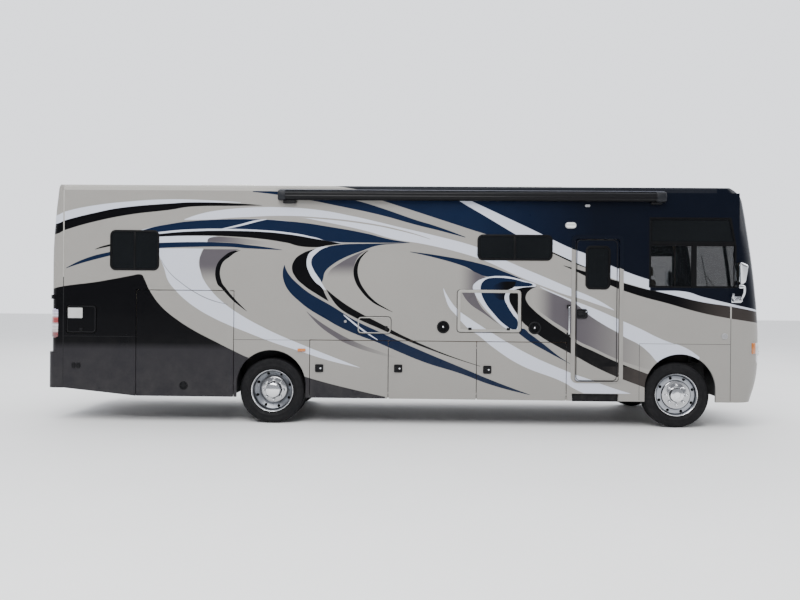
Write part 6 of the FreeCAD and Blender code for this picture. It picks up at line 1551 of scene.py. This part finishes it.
@finish
def tail_lens():
    """Tail lamp: white and red bands with round bowls behind the lens."""
    work = Finish("tail_lamp_lens")
    _, _, z = work.axes()
    bands = ((0, (0.1, 0.01, 0.012)), (0.17, (0.22, 0.014, 0.016)), (0.24, (0.55, 0.5, 0.5)),
        (0.46, (0.62, 0.62, 0.65)), (0.54, (0.3, 0.03, 0.03)), (0.68, (0.36, 0.05, 0.05)),
        (0.76, (0.6, 0.58, 0.66)), (1, (0.52, 0.48, 0.66)))
    band = work.node("ShaderNodeValToRGB", {"stops": bands}, {0: (z - 1.205) / 0.42})
    rings = work.node("ShaderNodeTexWave", {"bands_direction": "Z"}, {"Vector": work.place, "Scale": 7,
        "Distortion": 2, "Detail": 1})
    base = work.mix(band, (0.05, 0.045, 0.06), rings * 0.35)
    return work.surface(base, Roughness=0.12, Coat_Weight=0.8, Coat_Roughness=0.02, Normal=work.bump(rings,
        0.3, 0.003))


class RoofOperator(bpy.types.Operator):
    """Shapes the air conditioners and roof vents, and finishes the roof"""

    bl_idname = "motorhome.roof"
    bl_label = "Roof units"

    def execute(self, context):
        dress(self.membrane(), "roof")
        white = shell("unit_white", (0.74, 0.74, 0.72), 0.42, 0, 50, 0.0006)
        shrouds = [self.shroud("shroud", x) for x in (-3.3, 1.5)]
        vents = [self.vent("vent", x) for x in (-1.7, 0.1)]
        fitted(joined("roof_shrouds", *shrouds, *vents), white, "coach", "unit_white", "roof_units")
        dark = shell("grille_shadow", (0.02, 0.02, 0.02), 0.6, 0, 120, 0.0006)
        slots = []
        for x, (low, high) in product((-3.3, 1.5), ((-0.321, -0.309), (0.309, 0.321))):
            for number in range(9):
                at = x + 0.18 + number * 0.075
                slots.append(block("slot", (at, low, 3.475), (at + 0.045, high, 3.545), 0.004))
        fitted(joined("shroud_slots", *slots), dark)
        return {"FINISHED"}

    def membrane(self):
        """Roof: white sheet on top, painted where it rounds down to the walls."""
        colours = bpy.context.scene.motorhome_colours
        work = Finish("roof_skin")
        x, y, z = work.axes()
        dirt = work.noise(5, 5, 0.65).over(0.4, 0.8)
        sheet = work.mix((0.8, 0.8, 0.78), (0.55, 0.54, 0.51), dirt * 0.4)
        front = (x - (3.45 - z) * 6).over(-1.2, -1.19)
        edge = work.mix((0.36, 0.35, 0.325), colours.night, front)
        base = work.mix(sheet, edge, abs(y) > 1.235)
        return work.surface(base, Roughness=work.noise(20, 3).over(0.3, 0.7, 0.45, 0.6),
            Specular_IOR_Level=0.2, Normal=work.bump(work.noise(60, 3), 0.25, 0.001))

    def shroud(self, name, x):
        """A low moulded shroud: tapered block with a stepped top and soft edges."""
        piece = raw_block(name, (x, -0.32, 3.43), (x + 0.98, 0.32, 3.58))
        with editing(piece, "FACE", "DESELECT") as mesh:
            choose(piece, mesh.faces, lambda face: face.normal.z > 0.9)
            bpy.ops.transform.resize(value=(0.86, 0.9, 1))
            bpy.ops.mesh.inset(thickness=0.05, depth=0)
            bpy.ops.transform.translate(value=(0, 0, 0.005))
            bpy.ops.mesh.inset(thickness=0.03, depth=-0.01)
            bpy.ops.mesh.inset(thickness=0.02, depth=0.008)
        return rounded(piece, bent(40), 0.022, 4)

    def vent(self, name, x):
        """A roof vent: flange, and a lid with a crowned top."""
        flange = plate(name, (x, -0.2, 3.436), (x + 0.4, 0.2, 3.462), 2, 0.03, 0.004)
        lid = plate("lid", (x + 0.03, -0.17, 3.462), (x + 0.37, 0.17, 3.508), 2, 0.045, 0.014)
        dome = plate("dome", (x + 0.09, -0.11, 3.5), (x + 0.31, 0.11, 3.519), 2, 0.05, 0.008)
        return joined(name, flange, lid, dome)


def nose_face(y, z):
    """X of the front cap's face at this place, from the frame's own mesh."""
    return face_hit(("front_cap", "windshield"), (6, y, z), (-1, 0, 0))


def tail_face(y, z):
    """X of the rear cap's face at this place, from the frame's own mesh."""
    return face_hit(("rear_cap",), (-6, y, z), (1, 0, 0))


def first_hit(nodes, start, way):
    """The place where a line first meets one of these nodes."""
    hits = [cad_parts[name].ray_cast(Vector(start), Vector(way)) for name in nodes]
    places = [place for found, place, _, _ in hits if found]
    if not places:
        raise RuntimeError(f"no face of {nodes} from {start}")
    return min(places, key=lambda place: (place - Vector(start)).length)


def face_hit(nodes, start, way):
    """The X where a line first meets one of these nodes."""
    return first_hit(nodes, start, way).x


def wrapped(name, nodes, middle, turns, z0, z1, out, inward, soft):
    """A lens round a cap's corner: the cap's plan line between turns (degrees), thickened both ways."""
    outer, inner = [], []
    height = (z0 + z1) / 2
    for degrees in turns:
        way = Vector((math.cos(math.radians(degrees)), math.sin(math.radians(degrees)), 0))
        start = Vector((*middle, height)) + way * 1.5
        place = first_hit(nodes, start, -way)
        outer.append((place.x + way.x * out, place.y + way.y * out, z0))
        inner.append((place.x - way.x * inward, place.y - way.y * inward, z0))
    return drawn(name, outer + inner[::-1], (0, 0, z1 - z0), soft, 3)


class CornerLampOperator(bpy.types.Operator):
    """Wraps the lamps round the caps' corners and rims the headlamps"""

    bl_idname = "motorhome.corner_lamps"
    bl_label = "Corner lamps"

    def execute(self, context):
        corner = wrapped("turn_lamp_right", ("front_cap", "headlamps"), (4.7, -0.85), range(-62, -22, 5),
            1.072, 1.228, 0.012, 0.02, 0.007)
        fitted_twice(corner, head_lens(), slot="clear_lens")
        tail = wrapped("tail_lens_right", ("rear_cap", "tail_lamps"), (-4.8, -0.95), range(186, 246, 6),
            1.215, 1.615, 0.016, 0.02, 0.01)
        fitted_twice(tail, tail_lens(), slot="red_lens")
        rings = []
        for y, z, radius in ((0.86, 1.085, 0.07), (1.035, 1.085, 0.056)):
            x = face_hit(("headlamps", "front_cap"), (6, -y, z), (-1, 0, 0))
            rings.append(lathe("ring", (x, -y, z), ((radius, -0.012), (radius, 0.003),
                (radius - 0.006, 0.006), (radius - 0.014, 0.001), (radius * 0.6, -0.006), (0, -0.008),
                (0, -0.014), (radius, -0.012)), 32, (1, 0, 0)))
        fitted_twice(joined("headlamp_bowls_right", *rings), chrome(), slot="mirror_chrome")
        return {"FINISHED"}


class LadderOperator(bpy.types.Operator):
    """Finishes the rear ladder and adds its feet"""

    bl_idname = "motorhome.ladder"
    bl_label = "Ladder"

    def execute(self, context):
        dress(polished("ladder_tube", (0.62, 0.63, 0.65), 0.22), "ladder")
        low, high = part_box("ladder")
        feet = []
        for y, z in product((low[1] + 0.018, high[1] - 0.018), (1.3, 2.1, 2.9)):
            x = tail_face(y, z)
            reach = low[0] + 0.014 - x
            feet.append(lathe("foot", (x, y, z), ((0.03, 0.01), (0.03, -0.004), (0.024, -0.01),
                (0.01, -0.012), (0.01, reach), (0, reach), (0, 0.01)), 24, (1, 0, 0)))
        fitted(joined("ladder_feet", *feet), plastic())
        return {"FINISHED"}


class SlideOutOperator(bpy.types.Operator):
    """Trims the slide-out: its flange, corner mouldings and top awning"""

    bl_idname = "motorhome.slide_out"
    bl_label = "Slide-out trim"

    def execute(self, context):
        low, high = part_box("slideout_room")
        pale = trim_champagne()
        outer = plate("slideout_flange", (low[0] - 0.035, 1.2875, low[2] - 0.004), (high[0] + 0.035, 1.2955,
            high[2] + 0.03), 1, 0.03, 0.002)
        hole = plate("hole", (low[0] + 0.004, 1.27, low[2] + 0.018), (high[0] - 0.004, 1.33, high[2] - 0.004),
            1, 0.01, 0.001)
        fitted(cut_out(outer, hole), pale, "slide_out_room", "body_paint")
        corners = [block("corner", (x, 1.3, low[2] + 0.004), (x + 0.03, 1.3155, high[2] - 0.004), 0.004)
            for x in (low[0] + 0.002, high[0] - 0.032)]
        rails = [block("rail", (low[0] + 0.004, 1.3, z), (high[0] - 0.004, 1.3155, z + 0.03), 0.004)
            for z in (low[2] + 0.002, high[2] - 0.032)]
        fitted(joined("slideout_mouldings", *corners, *rails), pale, "slide_out_room", "body_paint")
        tube = lathe("slideout_topper", (low[0] + 0.06, 1.3005, high[2] + 0.055),
            ((0, 0), (0.016, 0), (0.018, 0.004), (0.018, high[0] - low[0] - 0.124),
            (0.016, high[0] - low[0] - 0.12), (0, high[0] - low[0] - 0.12)), 32, (1, 0, 0))
        ends = [block("topper_end", (x, 1.282, high[2] + 0.03), (x + 0.02, 1.3195, high[2] + 0.08), 0.005)
            for x in (low[0] + 0.045, high[0] - 0.065)]
        fitted(joined("slideout_topper", tube, *ends), plastic(), "slide_out_room", smooth=50)
        return {"FINISHED"}


class SeatOperator(bpy.types.Operator):
    """Pads the cab seats: inflated leather cushions, backs with headrests, arms and pedestals"""

    bl_idname = "motorhome.seats"
    bl_label = "Cab seats"

    def execute(self, context):
        tan = leather("seat_leather", (0.27, 0.22, 0.165))
        low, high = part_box("cab_seats")
        x, z = low[0], low[2]
        middle = 0.62
        cushion = self.pad("seat_cushion_left", (x + 0.15, middle - 0.235, z + 0.275),
            (high[0] - 0.02, middle + 0.235, z + 0.405), 0.022)
        back = self.pad("seat_back_left", (x + 0.022, middle - 0.225, z + 0.34), (x + 0.128, middle + 0.225,
            z + 0.93), 0.018)
        rest = self.pad("seat_headrest_left", (x + 0.028, middle - 0.145, z + 0.96),
            (x + 0.12, middle + 0.145, high[2] - 0.016), 0.012)
        self.sewn(cushion, 2, ((1, middle - 0.135), (1, middle + 0.135), (0, x + 0.33)))
        self.sewn(back, 0, ((1, middle - 0.13), (1, middle + 0.13), (2, z + 0.62)))
        replaced = ["cab_seats"]
        for piece in (cushion, back, rest):
            right = copied(piece, piece.name.replace("left", "right"), ACROSS)
            for side in (piece, right):
                fitted(side, tan, "coach", "seat_leather", *replaced, smooth=60)
                replaced = []
        dark = shell("seat_frame", (0.02, 0.02, 0.021), 0.45, 0, 150, 0.0005)
        stand = lathe("stand", (x + 0.37, middle, z + 0.001), ((0, 0), (0.165, 0), (0.165, 0.01),
            (0.12, 0.03), (0.085, 0.06), (0.08, 0.2), (0.13, 0.225), (0.15, 0.232), (0.15, 0.245),
            (0, 0.245)), 40, (0, 0, 1))
        tray = plate("tray", (x + 0.15, middle - 0.215, z + 0.24), (high[0] - 0.045, middle + 0.215,
            z + 0.272), 2, 0.05, 0.008)
        posts = [pipe("post", [(x + 0.075, middle + y, z + 0.92), (x + 0.072, middle + y, z + 0.945),
            (x + 0.072, middle + y, z + 0.975)], 0.006, 8) for y in (-0.06, 0.06)]
        shell_back = plate("shell", (x + 0.004, middle - 0.185, z + 0.36), (x + 0.026, middle + 0.185,
            z + 0.9), 0, 0.06, 0.008)
        arms = []
        for y in (-0.238, 0.238):
            arms.append(block("arm", (x + 0.07, middle + y - 0.018, z + 0.52), (x + 0.43, middle + y + 0.018,
                z + 0.565), 0.014, 4))
            arms.append(block("arm_link", (x + 0.06, middle + y - 0.012, z + 0.47),
                (x + 0.11, middle + y + 0.012, z + 0.545), 0.008, 3))
        fitted_twice(joined("seat_frame_left", stand, tray, shell_back, *posts, *arms), dark)
        return {"FINISHED"}

    def pad(self, name, low, high, cap):
        """A pad blown up by the cloth solver, each point held to within cap of where it began."""
        piece = block(name, low, high, 0.03, 4)
        shaped(piece, "REMESH", mode="VOXEL", voxel_size=0.009)
        hold(piece)
        cloth = piece.modifiers.new("Cloth", "CLOTH")
        cloth.settings.quality = 5
        cloth.settings.mass = 0.3
        cloth.settings.use_pressure = True
        cloth.settings.uniform_pressure_force = 4
        cloth.settings.effector_weights.gravity = 0
        cloth.point_cache.frame_start, cloth.point_cache.frame_end = 1, 20
        scene = bpy.context.scene
        for number in range(1, 21):
            scene.frame_set(number)
        blown = piece.evaluated_get(bpy.context.evaluated_depsgraph_get())
        places = [point.co.copy() for point in blown.data.vertices]
        piece.modifiers.remove(cloth)
        scene.frame_set(1)
        for point, place in zip(piece.data.vertices, places):
            step = place - point.co
            if step.length > cap:
                step *= cap / step.length
            point.co += step
        return shaped(piece, "SUBSURF", levels=1, render_levels=1)

    def sewn(self, piece, face, seams):
        """Sinks sewn channels, 5 mm deep, into the pad's faces along lines (axis, place)."""
        middle = sum(corner[face] for corner in piece.bound_box) / 8
        for point in piece.data.vertices:
            for axis, place in seams:
                gap = (point.co[axis] - place) / 0.008
                if abs(gap) < 3:
                    way = 1 if point.co[face] > middle else -1
                    point.co[face] -= way * 0.005 * math.exp(-gap * gap)


class DashboardOperator(bpy.types.Operator):
    """Finishes the dashboard and adds its gauges and screen"""

    bl_idname = "motorhome.dashboard"
    bl_label = "Dashboard"

    def execute(self, context):
        dress(shell("dash_grain", (0.03, 0.028, 0.027), 0.55, 0, 300, 0.0008), "dashboard")
        dials = []
        for y, radius in ((0.5, 0.05), (0.62, 0.062), (0.74, 0.05)):
            x = face_hit(("dashboard",), (3.9, y, 1.7), (1, 0, 0))
            dials.append(lathe("dial", (x, y, 1.7), ((radius, 0.004), (radius, -0.008),
                (radius - 0.006, -0.01), (radius - 0.01, -0.003), (0, -0.002), (0, 0.004)), 28, (1, 0, 0)))
        fitted(joined("dash_gauges", *dials), plastic())
        x = face_hit(("dashboard",), (3.9, 0.1, 1.64), (1, 0, 0))
        screen = plate("dash_screen", (x - 0.01, -0.02, 1.57), (x + 0.01, 0.22, 1.71), 0, 0.012, 0.002)
        fitted(screen, shell("screen_black", (0.004, 0.004, 0.005), 0.12, 0, 60, 0.0001))
        return {"FINISHED"}


class MotorhomePanel(bpy.types.Panel):
    """Lists the steps and the sizes they read"""

    bl_idname = "VIEW3D_PT_motorhome"
    bl_label = "Motorhome"
    bl_space_type = "VIEW_3D"
    bl_region_type = "UI"
    bl_category = "Motorhome"

    def draw(self, context):
        for step in STEPS:
            self.layout.operator(step.bl_idname)
        for store in STORES:
            box = self.layout.box()
            settings = getattr(context.scene, store)
            for prop in settings.bl_rna.properties.keys()[1:]:
                if prop != "name":
                    box.prop(settings, prop)


STORES = {"motorhome_colours": CoachColours, "motorhome_wheels": WheelSizes, "motorhome_stage": StageSizes,}
STEPS = (StageOperator, PaintOperator, UndersideOperator, TyreOperator, WheelOperator, WindowOperator,
    WindowTrimOperator, AwningOperator, EntryOperator, LatchOperator, SideOperator, MirrorOperator,
    CapOperator, RoofOperator, CornerLampOperator, LadderOperator, SlideOutOperator, SeatOperator,
    DashboardOperator,)


def register():
    for kind in (*STORES.values(), *STEPS, MotorhomePanel):
        bpy.utils.register_class(kind)
    for store, kind in STORES.items():
        setattr(bpy.types.Scene, store, PointerProperty(type=kind))


def unregister():
    for store in STORES:
        delattr(bpy.types.Scene, store)
    for kind in reversed((*STORES.values(), *STEPS, MotorhomePanel)):
        bpy.utils.unregister_class(kind)


def main():
    register()
    for step in STEPS:
        group, name = step.bl_idname.split(".")
        getattr(getattr(bpy.ops, group), name)()


if __name__ == "__main__":
    main()
